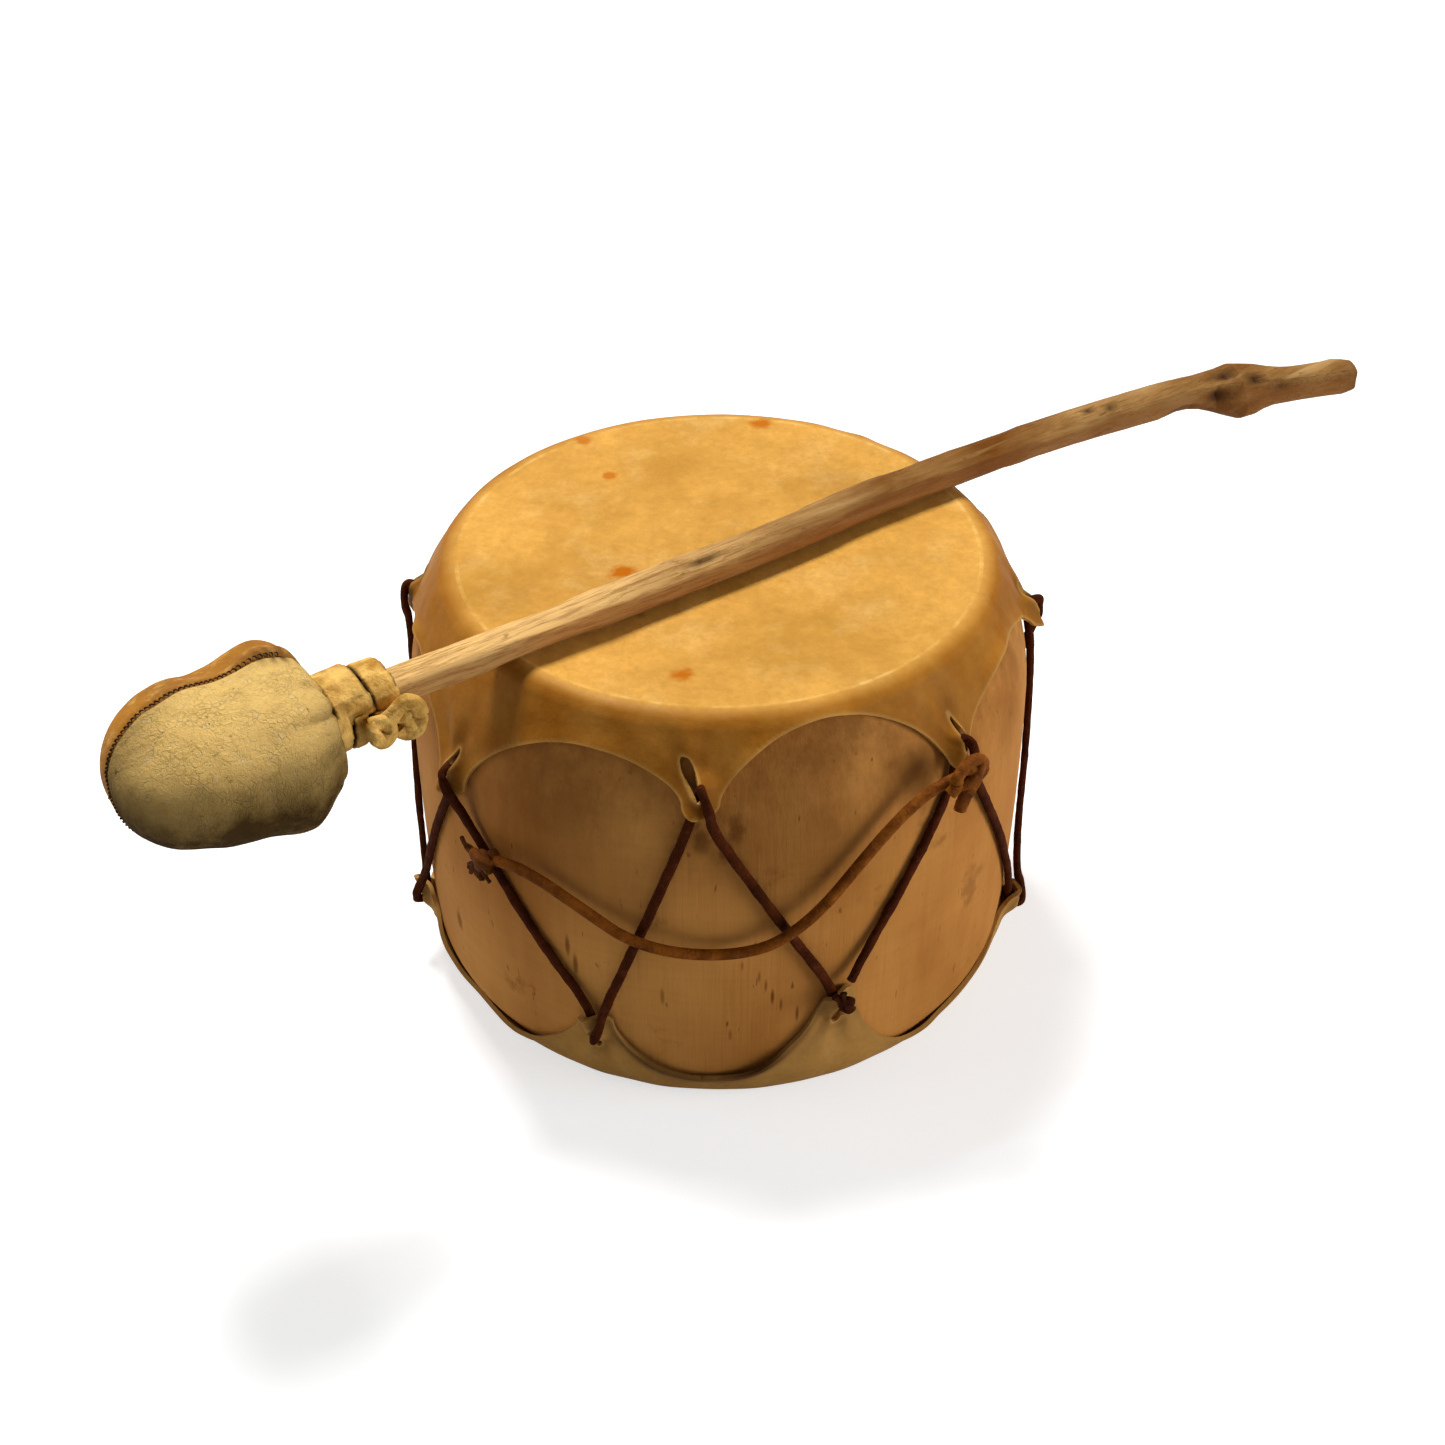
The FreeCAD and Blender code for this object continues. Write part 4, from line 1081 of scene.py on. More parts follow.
def hide_head(name, tabs, rise, sizes):
    """One rawhide head as a mesh: flat skin, turned rim, tabs, slits and curled edges.

    A grid is laid over the drum's side line, what lies in an arch or a slit is
    deleted, and the points along each cut are drawn onto the outline.
    """
    total = SIDE[0][-1]
    flat_edge = SIDE_LINE[0 if rise > 0 else -1][0] * RADIUS
    tips = [run_at(tab[1] * HEIGHT) for tab in tabs]
    reach = max(tips) if rise > 0 else total - min(tips)
    flats = np.linspace(0, flat_edge, 19)[:-1] - flat_edge
    rows = np.concatenate([flats, np.arange(0, reach + 1.5, sizes.row_step / MM)])
    columns = head_columns(tabs)

    deselect()
    bpy.ops.mesh.primitive_grid_add(x_subdivisions=len(columns) - 1, y_subdivisions=len(rows) - 1,
                                    size=2)
    piece = newest(name)
    mesh = piece.data
    flat = np.empty(len(mesh.vertices) * 3)
    mesh.vertices.foreach_get("co", flat)
    flat = (flat.reshape(-1, 3) + 1) / 2
    theta = columns[np.rint(flat[:, 0] * (len(columns) - 1)).astype(int)]
    run = rows[np.rint(flat[:, 1] * (len(rows) - 1)).astype(int)]
    on_side = run > 0
    side_run = np.clip(run, 0, None) if rise > 0 else total - np.clip(run, 0, None)
    radius, height, _, _ = side_at(side_run)
    gone, edge_gap, slit_gap, snap = cut_lines(tabs, rise, theta, on_side, radius, height)

    # Draw the points along every cut onto its outline.
    corners = np.empty(len(mesh.polygons) * 4, int)
    mesh.polygons.foreach_get("vertices", corners)
    corners = corners.reshape(-1, 4)
    drop = gone[corners].sum(axis=1) >= 3
    kept_at = np.bincount(corners[~drop].ravel(), minlength=len(theta))
    drop_at = np.bincount(corners[drop].ravel(), minlength=len(theta))
    for k in np.flatnonzero((kept_at > 0) & (drop_at > 0)):
        if k in snap:
            theta[k] = snap[k][0]
            side_run[k] = run_at(snap[k][1])
            edge_gap[k] = 0 if edge_gap[k] < slit_gap[k] else edge_gap[k]
            slit_gap[k] = 0 if slit_gap[k] < edge_gap[k] else slit_gap[k]

    radius, height, out, lift = side_at(side_run)
    away, ripple, roll = hide_lift(tabs, rise, theta, run, side_run, edge_gap, slit_gap,
                                   sizes.edge_lift / MM)
    turn = np.radians(theta)
    flat_radius = np.where(on_side, radius + out * away, run + flat_edge)
    sag = np.zeros(len(theta))
    for k in np.flatnonzero(~on_side | (run < 3)):
        spot = (flat_radius[k] * math.cos(turn[k]), flat_radius[k] * math.sin(turn[k]), 0)
        sag[k] = 0.28 + 0.22 * wobble(spot, 26.0, 9.0) + 0.12 * wobble(spot, 9.0, 4.0)
        sag[k] *= smoothstep((flat_edge - flat_radius[k]) / 6)
    skin = HEIGHT if rise > 0 else 0.0
    flat_height = np.where(on_side, height + lift * away, skin) - rise * sag
    places = np.column_stack([np.sin(turn) * flat_radius, -np.cos(turn) * flat_radius, flat_height])
    mesh.vertices.foreach_set("co", (places * MM).ravel())
    set_values(mesh, "dark_fold", roll * (0.75 + 0.4 * ripple))
    set_values(mesh, "cut_edge", bell(np.minimum(edge_gap, slit_gap) / 0.6))
    dirt = bell(np.clip(slit_gap - 1.0, 0, None) / 3.0)
    set_values(mesh, "slit_dirt", dirt * (0.6 + 0.4 * ripple))
    mesh.update()

    pick(piece, "FACE", drop)
    bpy.ops.mesh.delete(type="FACE")
    bpy.ops.mesh.select_all(action="SELECT")
    bpy.ops.mesh.remove_doubles(threshold=0.00002)
    face_outward(piece)
    flat_faces = [face for face in mesh.polygons if abs(face.center.z - skin * MM) < 2e-4]
    if sum(face.normal.z * rise for face in flat_faces) < 0:
        mesh.flip_normals()
    add_wall(piece, sizes.thickness, material_offset_rim=1)
    return piece


class DRUM_OT_heads(bpy.types.Operator):
    """The two rawhide heads with their tabs, slits and curled cut edges"""
    bl_idname = "drum.heads"
    bl_label = "Rawhide heads"

    def execute(self, context):
        sizes, finishes = context.scene.hide_sizes, context.scene.finishes
        cut = hide_cut()
        for name, tabs, rise, node in (("top_hide", TOP_TABS, 1, "top_head"),
                                       ("bottom_hide", BOTTOM_TABS, -1, "bottom_head")):
            piece = hide_head(name, tabs, rise, sizes)
            smooth(piece, 50)
            material = rawhide(name.replace("hide", "rawhide"), finishes, rise < 0)
            finish_piece(piece, "drum", node, material, cut)
        return {"FINISHED"}


class DRUM_OT_log(bpy.types.Operator):
    """Bare wood on the hollowed log, whose shape is the CAD's own"""
    bl_idname = "drum.log"
    bl_label = "Log"

    def execute(self, context):
        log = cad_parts["log_shell"]
        log.data.materials.clear()
        log.data.materials.append(log_wood(context.scene.finishes))
        return {"FINISHED"}


def station_at(place):
    """Sideways bend and radius of the stick at a place along it, in millimetres."""
    table = np.array(STICK_STATIONS)
    share = place / STICK_LENGTH
    if share <= 0:
        return 0.0, STICK_RADIUS * table[0, 2]
    k = min(int(np.searchsorted(table[:, 0], share, "right")) - 1, len(table) - 2)
    first, last = max(k - 1, 0), min(k + 2, len(table) - 1)
    span = table[k + 1, 0] - table[k, 0]
    t = (share - table[k, 0]) / span
    before = (table[k + 1] - table[first]) / (table[k + 1, 0] - table[first, 0])
    after = (table[last] - table[k]) / (table[last, 0] - table[k, 0])
    here = (table[k] * (1 + 2 * t) * (1 - t) ** 2 + table[k + 1] * t * t * (3 - 2 * t)
            + before * span * t * (1 - t) ** 2 - after * span * t * t * (1 - t))
    return here[1] * 2 * STICK_RADIUS, here[2] * STICK_RADIUS


# Dents of the stick: place along it, turn from the top towards the front,
# length, width and depth in mm, and how dark they are.
STICK_DENTS = [
    (98.4, 28, 7.0, 1.6, 0.9, 0.75), (252.4, 12, 2.6, 1.6, 0.7, 0.9),
    (261.0, 26, 3.0, 1.8, 0.8, 0.8), (304.0, 22, 3.2, 2.4, 1.3, 1.0),
    (313.0, 46, 2.6, 2.2, 1.4, 1.0), (302.0, 84, 3.4, 3.0, 1.6, 1.0),
    (322.0, 70, 3.0, 1.6, 0.8, 0.6), (180.0, -40, 6.0, 1.5, 0.5, 0.4),
    (40.0, 200, 8.0, 2.0, 0.6, 0.4), (215.0, 150, 5.0, 2.0, 0.7, 0.6),
    (288.0, 130, 7.0, 3.0, 1.0, 0.6), (330.0, -60, 4.0, 2.0, 0.9, 0.7),
]


def stick_facets():
    """Knife cuts along the stick: middle, half length, turn and depth."""
    chance = random.Random(7)
    return [(chance.uniform(-4, 356), chance.uniform(10, 38), chance.uniform(0, FULL_TURN),
             chance.uniform(0.25, 0.85)) for _ in range(KNIFE_CUTS)]


def stick_point(along, around, inner, cuts):
    """Place of one point of the stick in mm, and how dark it is there.

    Its turn is counted from the top towards the front, and inner is its share of
    the radius, less than 1 on the faces of the ends.
    """
    bend, size = station_at(along)
    reach = size * UNCUT
    for middle, half, turn, depth in cuts:
        if abs(along - middle) < half + 3:
            off = signed(around - turn, FULL_TURN)
            if abs(off) < 1.0:
                ease = max(0, abs(along - middle) - half * 0.55) / half
                reach = min(reach, (size * UNCUT - depth + 3.2 * ease ** 2) / math.cos(off))
    spot = (along, size * math.cos(around), size * math.sin(around))
    below = signed(around - math.radians(128), FULL_TURN)
    reach += 3.6 * bell((along - 309) / 6.5, below / 0.75)
    reach -= 1.3 * bell((along - 293) / 7.0, below / 1.1)
    reach += 0.12 * wobble(spot, 5.0, 2.0) + 0.25 * wobble(spot, 22.0, 6.0)
    burl = bell((along - 310) / 13)
    reach += burl * (0.9 * wobble(spot, 6.5, 8.0) + 0.5 * math.cos(around + 1.9))
    shade = 0.0
    for place, turn, long, wide, depth, dark in STICK_DENTS:
        off = signed(around - math.radians(turn), FULL_TURN)
        gap = math.hypot((along - place) / long, off * size / wide)
        if gap < 2:
            reach -= depth * math.exp(-gap ** 4 * 1.2)
            shade = max(shade, dark * math.exp(-(gap * 1.1) ** 4))
    end = STICK_LENGTH - along
    reach = (reach - math.exp(-max(end, 0))) * inner
    shade = max(shade, 0.35 * math.exp(-max(end, 0) / 1.5) * (inner > 0.99))
    up, front = reach * math.cos(around), reach * math.sin(around)
    if end < 0.5:
        crown = 0.9 * (1 - inner ** 2) + 0.25 * wobble((up, front, along), 2.5)
        if inner < 0.95:
            shade = 0.3 + 0.3 * abs(wobble((up, front, 0), 1.6))
        along += (crown if inner < 0.999 else 0.0) - 1.3
    return (along, bend - front, up), shade


class DRUM_OT_stick(bpy.types.Operator):
    """Peeled branch whittled with a knife, with a burl near its far end"""
    bl_idname = "drum.stick"
    bl_label = "Beater stick"

    def execute(self, context):
        full = STICK_LENGTH + STICK_INSIDE
        deselect()
        bpy.ops.mesh.primitive_cylinder_add(vertices=44, radius=STICK_RADIUS, depth=full,
                                            end_fill_type="NGON")
        piece = newest("stick")
        mesh = piece.data
        ends = [[mesh.vertices[i].co.z for i in edge.vertices] for edge in mesh.edges]
        pick(piece, "EDGE", [abs(one - other) > 1 for one, other in ends])
        bpy.ops.mesh.subdivide(number_cuts=260)
        bpy.ops.object.mode_set(mode="OBJECT")
        pick(piece, "FACE", [abs(face.normal.z) > 0.9 for face in mesh.polygons])
        for inset in (0.5, 1.0, 1.6, 1.2):
            bpy.ops.mesh.inset(thickness=inset)
        bpy.ops.object.mode_set(mode="OBJECT")
        cuts = stick_facets()
        dark_marks, shaded_flank = [], []
        for vertex in mesh.vertices:
            along = vertex.co.z + full / 2 - STICK_INSIDE
            around = math.atan2(vertex.co.y, vertex.co.x)
            inner = math.hypot(vertex.co.x, vertex.co.y) / STICK_RADIUS
            vertex.co, shade = stick_point(along, around, inner, cuts)
            dark_marks.append(shade)
            # The lower front side is painted darker as shade.
            low = math.degrees(around) % 360 - 58 + 9 * wobble((along, 0, 0), 16.0, 3.0)
            shaded_flank.append(smoothstep(low / 12) * smoothstep((190 - low) / 30))
        set_values(mesh, "dark_marks", dark_marks)
        set_values(mesh, "shaded_flank", shaded_flank)
        seat_on_beater(piece, MM)
        face_outward(piece)
        smooth(piece, 9)
        finish_piece(piece, "beater", "beater_stick", branch_wood(context.scene.finishes))
        return {"FINISHED"}


# Stitches of the seam, and steps of the cloth that swells the pad.
STITCHES = 100
CLOTH_STEPS = 20

# Bulges of the pad, held against its outline: place, turn, reach along and
# round in mm and degrees, and height.
PAD_BULGES = [(-42.5, 122, 8.0, 42, 4.8), (-34.0, -46, 8.5, 30, 4.2), (-84.0, 90, 8.0, 90, 1.6),
              (-60.0, 60, 12.0, 40, 0.8), (-70.0, 150, 12.0, 40, 1.0), (-52.5, -40, 7.5, 40, -2.8)]


def pad_radius(along, around, less):
    """Radius of the stuffed pad and its gathered neck at a place and a turn, less a skin."""
    share = abs((along - PAD_CENTRE.x + 0.6) / (PAD_HALVES.x + 0.8 - less))
    oval = math.sqrt(max(0, 1 - share ** 2.4))
    wide, tall = (PAD_HALVES.y - less) * oval, (PAD_HALVES.z - less) * oval
    across, high = math.sin(around), math.cos(around)
    body = wide * tall / math.hypot(tall * across, wide * high) if oval > 0 else 0
    for place, turn, long, wide_turn, height in PAD_BULGES:
        off = signed(math.degrees(around) + turn)
        body += height * bell((along - place) / long, off / wide_turn) * min(1, oval * 2)
    # The binding pinches the leather to a narrow neck.
    pinch = smoothstep((along + 30.0) / 7.0)
    return body * (1 - pinch) + (8.3 - less) * pinch


# Creases of the gathered neck: turn, how far they run from the binding, depth.
PAD_CREASES = [
    (10, 16, 1.3), (38, 26, 1.9), (61, 14, 1.2), (88, 24, 1.8), (117, 18, 1.5), (139, 28, 2.0),
    (171, 15, 1.3), (196, 24, 1.7), (224, 17, 1.5), (251, 27, 1.9), (280, 18, 1.4), (303, 30, 2.1),
    (334, 20, 1.6), (352, 12, 1.1),
]


def swollen_pad(context):
    """Closed form of the stuffed pad, blown up by a cloth simulation."""
    sizes = context.scene.beater_sizes
    deselect()
    bpy.ops.mesh.primitive_uv_sphere_add(segments=96, ring_count=72, radius=1.0)
    piece = newest("pad_form")
    far, near = PAD_CENTRE.x - PAD_HALVES.x + 0.1, -4.0
    for vertex in piece.data.vertices:
        share = math.acos(max(-1, min(1, vertex.co.z))) / math.pi
        around = math.atan2(vertex.co.y, vertex.co.x)
        ease = share - math.sin(FULL_TURN * share) / FULL_TURN * 0.75
        along = far + (near - far) * ease
        pole = math.hypot(vertex.co.x, vertex.co.y)
        reach = pad_radius(along, around, 1.2) * (1.0 if 0.03 < share < 0.985 else min(1, pole * 9))
        if share >= 0.985:
            reach = 7.2 * min(1, pole * 22)
        vertex.co = Vector((along, reach * math.sin(around), reach * math.cos(around))) * MM
    make_active(piece)
    piece.data.remesh_voxel_size = sizes.voxel
    piece.data.use_remesh_fix_poles = False
    bpy.ops.object.voxel_remesh()
    mesh = piece.data
    before = [vertex.co.copy() for vertex in mesh.vertices]
    pinned = piece.vertex_groups.new(name="pinned")
    for vertex in mesh.vertices:
        hold = min(1, max(0, (vertex.co.x / MM + 34) / 9))
        pinned.add([vertex.index], hold, "REPLACE")
    cloth = piece.modifiers.new("swell", "CLOTH")
    cloth.settings.use_pressure = True
    cloth.settings.uniform_pressure_force = 4.0
    cloth.settings.effector_weights.gravity = 0
    cloth.settings.vertex_group_mass = "pinned"
    cloth.settings.tension_stiffness = 12
    cloth.settings.bending_stiffness = 0.4
    cloth.point_cache.frame_start = 1
    cloth.point_cache.frame_end = CLOTH_STEPS
    for number in range(1, CLOTH_STEPS + 1):
        context.scene.frame_set(number)
    apply_modifiers(piece)
    for vertex, start in zip(mesh.vertices, before):
        move = vertex.co - start
        if move.length > sizes.swell:
            vertex.co = start + move * (sizes.swell / move.length)
    context.scene.frame_set(1)
    soften = piece.modifiers.new("soften", "SUBSURF")
    soften.levels = soften.render_levels = 1
    apply_modifiers(piece)
    return piece


def pad_point(vertex):
    """Push one point of the pad into its creases, lumps and seam, and say how dark it is."""
    x, y, z = vertex / MM
    around, reach = math.atan2(y, z), math.hypot(y, z)
    push = 0.9 * wobble((x, y, z), 17.0, 2.0) + 0.35 * wobble((x, y, z), 6.0, 3.0)
    push *= smoothstep((x + 84) / 12.0) * (1 if x < -20 else 0.4)
    # Gathers run out from the binding and fade into the pad.
    for turn, run, depth in PAD_CREASES:
        off = signed(around - math.radians(turn), FULL_TURN)
        beyond = max(0, BINDING_EDGE - x)
        fade = 1 - beyond / run
        if fade > 0 and abs(off) < 0.5:
            ridge = bell(off * reach / (1.0 + 0.11 * beyond))
            push -= depth * fade ** 0.7 * ridge * (0.55 if x > BINDING_EDGE else 1)
    gap = y * math.cos(SEAM_LEAN) - z * math.sin(SEAM_LEAN)
    rolled = 0.45 * bell((abs(gap) - 2.2) / 1.5)
    push += (rolled - bell(gap / 0.9)) * (1 if x < -27 else 0.3)
    size = reach + push
    if x > -24:
        size = max(size, 7.4)
    y, z = size * math.sin(around), size * math.cos(around)
    # Darker along the seam line, and painted shade in the gathered neck under the strap and in the
    # gathers at the seam's end on the hump.
    seam_and_shade = max(0.6 * bell(gap / 0.7), smoothstep((x + 25.5) / 2.5))
    pleats = 0.9 + 0.5 * math.sin(x * 1.9 + 2.0 * wobble((x, y, z), 4.0, 6.0))
    hump = bell((x + 34) / 7.0, (gap - 1.0) / 4.0) * (z > 4)
    return Vector((x, y, z)) * MM, min(1.0, max(seam_and_shade, pleats * hump * 1.2))


def pad_panel(form, name, side, thickness):
    """One leather panel, cut from the swollen form along the leaning seam."""
    make_active(form)
    bpy.ops.object.duplicate()
    piece = newest(name)
    mesh = piece.data
    neck_end = Vector((-7.0 * MM, 0, 0))
    seam = SEAM_ACROSS * 0.00012 * side
    for place, way, inner, outer in ((seam, SEAM_ACROSS, side > 0, side < 0),
                                     (neck_end, Vector((1, 0, 0)), False, True)):
        bpy.ops.object.mode_set(mode="EDIT")
        bpy.ops.mesh.select_all(action="SELECT")
        bpy.ops.mesh.bisect(plane_co=place, plane_no=way, clear_inner=inner, clear_outer=outer)
        bpy.ops.object.mode_set(mode="OBJECT")
    seam_and_shade = []
    for vertex in mesh.vertices:
        vertex.co, near = pad_point(vertex.co)
        seam_and_shade.append(near)
    set_values(mesh, "seam_and_painted_shade", seam_and_shade)
    face_outward(piece)
    middle = PAD_CENTRE * MM
    if sum((face.center - middle).dot(face.normal) for face in mesh.polygons) < 0:
        mesh.flip_normals()
    add_wall(piece, thickness, use_even_offset=False)
    return piece


def stitch_shape(sizes):
    """One stitch along X, with its ends thinner and pulled into the leather."""
    deselect()
    bpy.ops.mesh.primitive_cylinder_add(vertices=6, radius=sizes.thread / 2,
                                        depth=sizes.stitch, rotation=(0, math.pi / 2, 0))
    model = newest("stitch")
    bpy.ops.object.transform_apply(location=False, rotation=True, scale=False)
    for edge in model.data.edges:
        ends = [model.data.vertices[i].co.x for i in edge.vertices]
        edge.select = abs(ends[0] - ends[1]) > 0.001
    bpy.ops.object.mode_set(mode="EDIT")
    bpy.ops.mesh.subdivide(number_cuts=3)
    bpy.ops.object.mode_set(mode="OBJECT")
    for vertex in model.data.vertices:
        share = vertex.co.x / (sizes.stitch / 2)
        vertex.co.y *= 1 - 0.25 * share * share
        vertex.co.z = vertex.co.z * 0.85 - 0.0006 * share ** 4
    return model


class DRUM_OT_pad(bpy.types.Operator):
    """Stuffed leather pad: two panels, the stuffing and the seam's stitches"""
    bl_idname = "drum.pad"
    bl_label = "Beater pad"

    def execute(self, context):
        sizes, finishes = context.scene.beater_sizes, context.scene.finishes
        form = swollen_pad(context)
        front = pad_panel(form, "front_suede", -1, sizes.leather)
        back = pad_panel(form, "back_leather", 1, sizes.leather)
        self.stitches(context, front, back)
        self.stuffing(context, form)
        for piece, material, node in ((front, pad_suede(finishes), "pad_front_panel"),
                                      (back, pad_tan(finishes), "pad_back_panel")):
            seat_on_beater(piece)
            smooth(piece)
            finish_piece(piece, "beater", node, material)
        return {"FINISHED"}

    def stuffing(self, context, form):
        """Matted fibre inside the panels, round the stick."""
        make_active(form)
        piece = newest("stuffing_fibre")
        for vertex in piece.data.vertices:
            x, y, z = vertex.co / MM
            around, reach = math.atan2(y, z), math.hypot(y, z)
            reach = reach * 0.86 - 1.6 + 0.5 * wobble((x, y, z), 3.0, 12.0)
            x = PAD_CENTRE.x + (min(x, -24) - PAD_CENTRE.x) * 0.88
            reach = max(reach, 5.85) if x > -66 else max(reach, 0.1)
            vertex.co = Vector((x, reach * math.sin(around), reach * math.cos(around))) * MM
        seat_on_beater(piece)
        smooth(piece, 70)
        finish_piece(piece, "beater", "pad_stuffing", pad_fibre(context.scene.finishes))

    def stitches(self, context, front, back):
        """Slanted stitches over the seam, one shape copied along it."""
        sizes = context.scene.beater_sizes
        chance = random.Random(4)
        depths = context.evaluated_depsgraph_get()
        trees = [BVHTree.FromObject(panel, depths) for panel in (front, back)]
        model = stitch_shape(sizes)
        centre = PAD_CENTRE * MM
        copies = []
        for number in range(STITCHES):
            turn = math.radians(58 + 258 * number / (STITCHES - 1))
            flat = Vector((math.cos(turn) * PAD_HALVES.x, 0, 0))
            spot = (PAD_CENTRE + flat + SEAM_UP * (25 * math.sin(turn))) * MM
            way = (spot - centre).normalized()
            sides = []
            for side in (-1, 1):
                start = spot + way * 0.02 + SEAM_ACROSS * (0.0018 * side)
                hits = [tree.ray_cast(start, -way)[0] for tree in trees]
                hits = [hit for hit in hits if hit]
                if hits:
                    sides.append(max(hits, key=lambda hit: (hit - centre).dot(way)))
            if not sides:
                raise RuntimeError("a stitch finds no leather")
            # A stitch lies from one panel to the other, as high as the middle between them.
            place = (sides[0] + sides[-1]) / 2
            across = (sides[1] - sides[0]).normalized() if len(sides) == 2 else SEAM_ACROSS
            along = way.cross(across).normalized()
            z_way = across.cross(along)
            slant = math.radians(48 + chance.uniform(-12, 12))
            x_way = across * math.cos(slant) + along * math.sin(slant)
            y_way = z_way.cross(x_way).normalized()
            basis = Matrix((x_way, y_way, x_way.cross(y_way).normalized()))
            basis = basis.transposed().to_4x4()
            basis.translation = place + z_way * 0.0002
            make_active(model)
            bpy.ops.object.duplicate()
            copy = newest(f"stitch_{number}")
            copy.data.transform(basis @ Matrix.Scale(chance.uniform(0.85, 1.1), 4))
            copies.append(copy)
        bpy.data.objects.remove(model)
        piece = join(copies, "seam_stitches")
        seat_on_beater(piece)
        smooth(piece)
        finish_piece(piece, "beater", "pad_seam_stitches", seam_thread(context.scene.finishes))


def round_neck(place, turn, reach):
    """Point round the stick in the beater's frame, its turn from the top to the front."""
    angle = math.radians(turn)
    return Vector((place, -reach * math.sin(angle), reach * math.cos(angle)))


def neck_band(name, path, wide, thick, seed):
    """Flat strap that lies round the neck, its width along the stick.

    It is made round Z, where a curve keeps its width upright, and then laid down.
    """
    stand = Matrix(((0, 0, -1, 0), (0, 1, 0, 0), (1, 0, 0, 0), (0, 0, 0, 1)))
    points = [stand @ (round_neck(*spot) * MM) for spot in path]
    half = thick / 2 * MM
    piece = settle(nurbs_object(name, points, half, wide / 2 * MM - half, 9))
    line = stand.inverted()
    dark = []
    for vertex in piece.data.vertices:
        spot = line @ vertex.co / MM
        turn = math.degrees(math.atan2(-spot.y, spot.z))
        middle = min((abs(signed(turn - a)), place) for place, a, _ in path)[1]
        edge = abs(spot.x - middle) / (wide / 2)
        # Darker at its edges, partly worn and partly painted shade between the bands, and painted
        # shade below.
        below = 0.5 * smoothstep((abs(turn) - 80) / 60)
        dark.append(max(smoothstep((edge - 0.72) / 0.3), below))
        uneven = 0.0004 * wobble(spot, 3.4, seed) + 0.0003 * wobble(spot, 1.4, seed)
        vertex.co += vertex.normal * uneven
    set_values(piece.data, "dark_edge", dark)
    piece.data.transform(line)
    return piece


# The strap's bands: width and thickness in mm, then place along the neck, turn and reach.
NECK_BANDS = [
    (11.5, 2.4, [(-19.5, -215, 9.0), (-19.8, -170, 9.9), (-20.4, -125, 10.1), (-21.0, -80, 10.0),
                 (-21.2, -40, 10.2), (-21.2, 0, 10.3), (-20.8, 35, 10.4), (-20.0, 62, 10.2),
                 (-19.0, 84, 8.7)]),
    (8.2, 2.4, [(-10.5, -225, 8.5), (-10.6, -180, 9.2), (-10.8, -130, 9.3), (-11.0, -80, 9.2),
                (-11.0, -35, 9.4), (-10.8, 5, 9.4), (-10.4, 40, 9.6), (-9.8, 68, 9.4),
                (-9.0, 92, 8.3)]),
    (5.0, 2.4, [(-24.4, 70, 9.3), (-24.4, 92, 10.8), (-24.2, 120, 11.4), (-23.4, 150, 11.5),
                (-22.0, 180, 11.2), (-20.5, 212, 10.4), (-19.5, 240, 9.2)]),
    (4.8, 2.4, [(-18.6, 78, 9.4), (-18.6, 98, 11.0), (-18.8, 124, 11.7), (-18.6, 152, 11.8),
                (-17.8, 182, 11.3), (-16.5, 214, 10.3), (-15.5, 240, 9.2)]),
    (4.6, 2.4, [(-12.9, 84, 9.2), (-13.0, 104, 10.8), (-13.4, 130, 11.3), (-13.4, 158, 11.3),
                (-12.8, 190, 10.8), (-11.8, 222, 9.8), (-11.0, 246, 8.8)]),
    (4.6, 2.0, [(-8.2, 84, 8.6), (-8.4, 110, 10.2), (-8.4, 140, 10.6), (-8.0, 172, 10.2),
                (-7.5, 205, 8.8)]),
]
# The knot's two lobes and the curled end: half thickness in mm, flat part in metres, path.
KNOT_LOOPS = [
    (1.6, 0.0006, [(-17.5, 88, 12.0), (-17.8, 98, 14.6), (-15.8, 112, 15.4), (-13.2, 110, 15.2),
                   (-12.4, 96, 14.6), (-14.2, 86, 13.2), (-17.0, 92, 12.0)]),
    (1.7, 0.0008, [(-13.5, 96, 12.4), (-11.0, 84, 13.8), (-8.0, 72, 14.8), (-4.8, 74, 15.4),
                   (-3.6, 92, 15.6), (-4.8, 112, 15.4), (-7.4, 122, 14.4), (-9.2, 112, 12.8)]),
    (1.5, 0.0009, [(-9.6, 92, 12.0), (-8.0, 88, 14.0), (-6.2, 94, 14.6), (-5.8, 106, 14.2),
                   (-7.4, 112, 13.0)]),
]


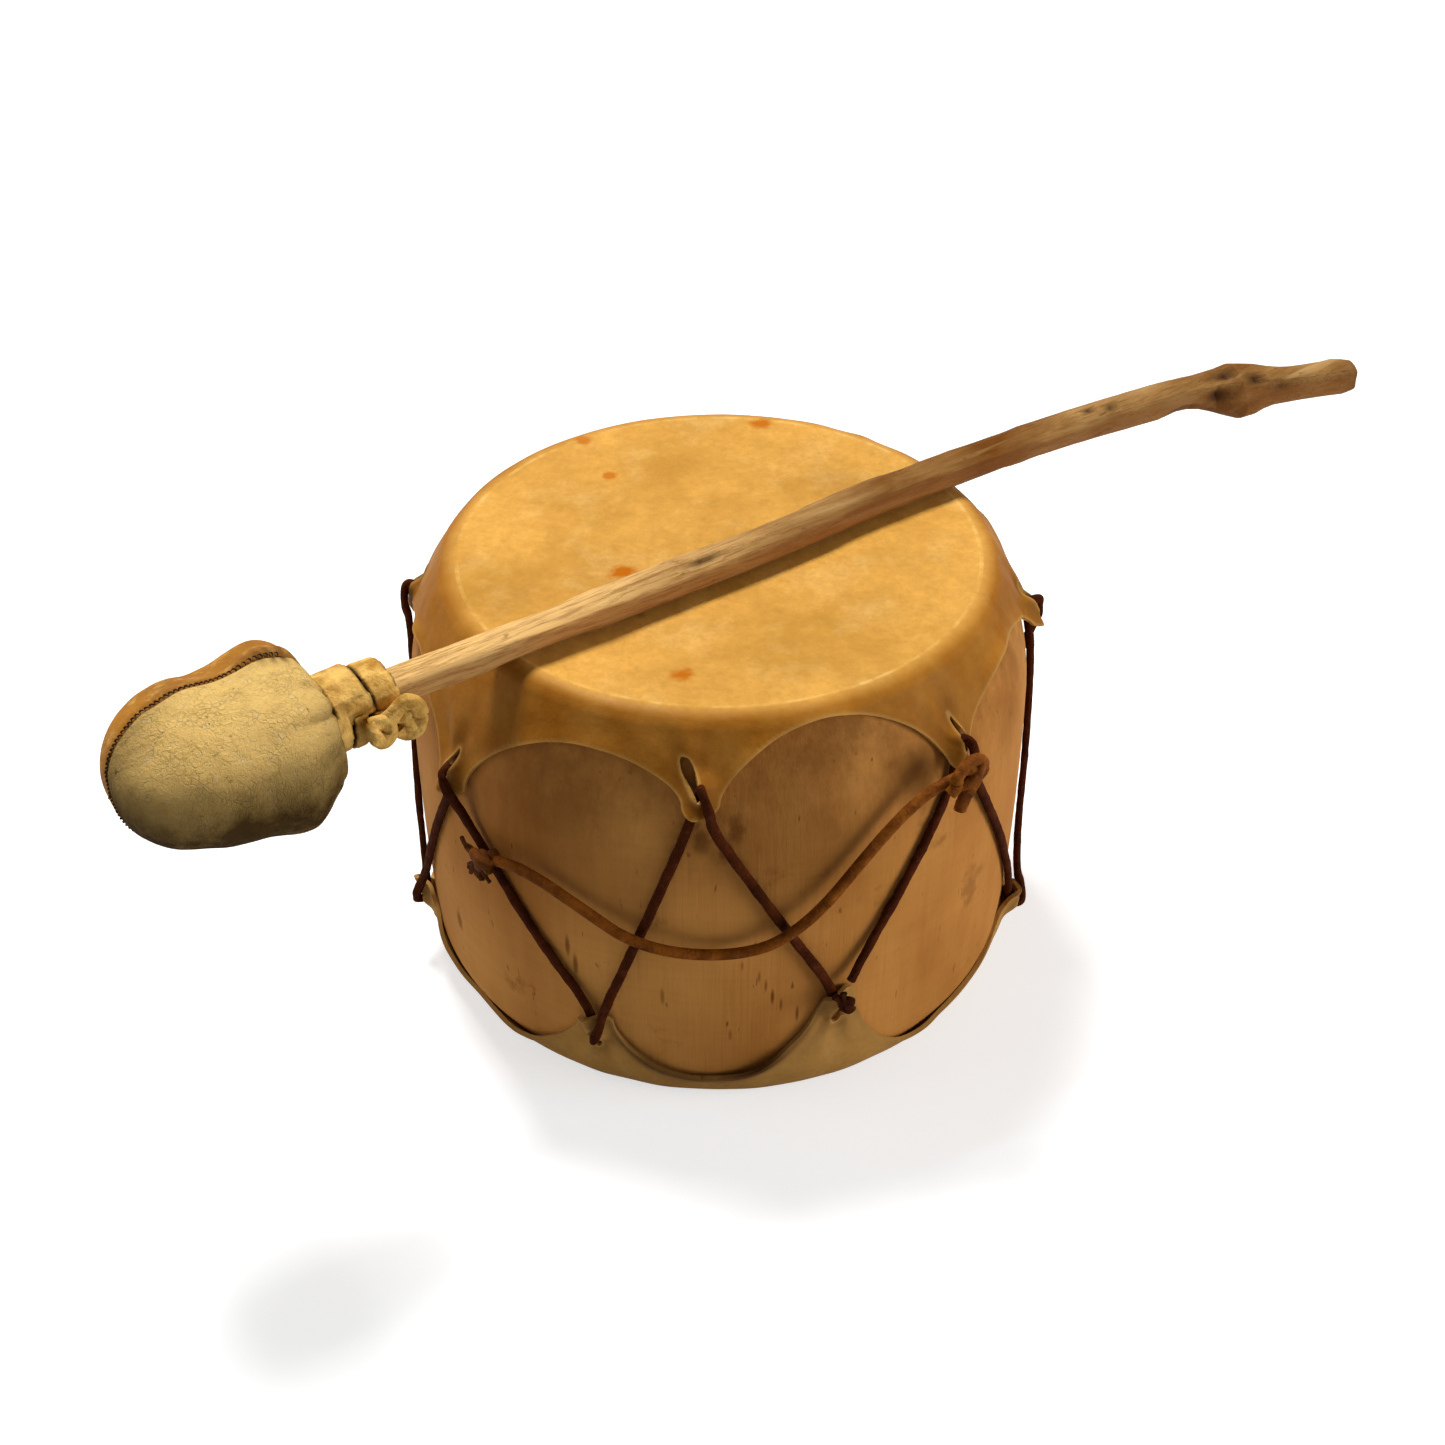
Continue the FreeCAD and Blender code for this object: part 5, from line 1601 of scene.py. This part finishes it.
class DRUM_OT_binding(bpy.types.Operator):
    """Strap wound round the pad's neck, with its crossing, its knot and its curled end"""
    bl_idname = "drum.binding"
    bl_label = "Neck binding"

    def execute(self, context):
        finishes = context.scene.finishes
        material = strap_leather("soft_strap_leather", finishes.strap, linear("#9E6A1E"), 0.75)
        turns = [neck_band(f"band_{number}", path, wide, thick, 30 + number)
                 for number, (wide, thick, path) in enumerate(NECK_BANDS)]
        loops = []
        for number, (half, flat, path) in enumerate(KNOT_LOOPS):
            points = [round_neck(*spot) * MM for spot in path]
            loop = settle(nurbs_object(f"tie_{number}", points, half * MM, flat, 9))
            roughen(loop, 0.0003, 2.6, 50 + number)
            tone(loop, 0.15)
            loops.append(loop)
        for parts, name, node in ((turns, "neck_strap", "neck_binding"),
                                  (loops, "strap_ties", "binding_knot")):
            piece = join(parts, name)
            seat_on_beater(piece)
            smooth(piece)
            finish_piece(piece, "beater", node, material)
        return {"FINISHED"}


class DRUM_PT_panel(bpy.types.Panel):
    """Steps that build the drum, in their order, and their values"""
    bl_label = "Rawhide hand drum"
    bl_idname = "DRUM_PT_panel"
    bl_space_type = "VIEW_3D"
    bl_region_type = "UI"
    bl_category = "Drum"

    def draw(self, context):
        for step in STEPS:
            self.layout.operator(step)
        for group in (context.scene.hide_sizes, context.scene.beater_sizes, context.scene.finishes):
            for key in group.__annotations__:
                self.layout.prop(group, key)


STEPS = ("drum.stage", "drum.carry_cord", "drum.lacing", "drum.heads", "drum.log", "drum.stick",
         "drum.pad", "drum.binding")
CLASSES = (HideSizes, BeaterSizes, Finishes, DRUM_OT_stage, DRUM_OT_carry_cord, DRUM_OT_lacing,
           DRUM_OT_heads, DRUM_OT_log, DRUM_OT_stick, DRUM_OT_pad, DRUM_OT_binding, DRUM_PT_panel)


def register():
    """Register the classes and hang the property groups on the scene."""
    for item in CLASSES:
        bpy.utils.register_class(item)
    bpy.types.Scene.hide_sizes = bpy.props.PointerProperty(type=HideSizes)
    bpy.types.Scene.beater_sizes = bpy.props.PointerProperty(type=BeaterSizes)
    bpy.types.Scene.finishes = bpy.props.PointerProperty(type=Finishes)


def unregister():
    """Take the property groups and classes away again."""
    for name in ("hide_sizes", "beater_sizes", "finishes"):
        delattr(bpy.types.Scene, name)
    for item in reversed(CLASSES):
        bpy.utils.unregister_class(item)


def main():
    """Build every piece in order."""
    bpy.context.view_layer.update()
    register()
    for step in STEPS:
        group, name = step.split(".")
        getattr(getattr(bpy.ops, group), name)()
    deselect()


if __name__ == "__main__":
    main()
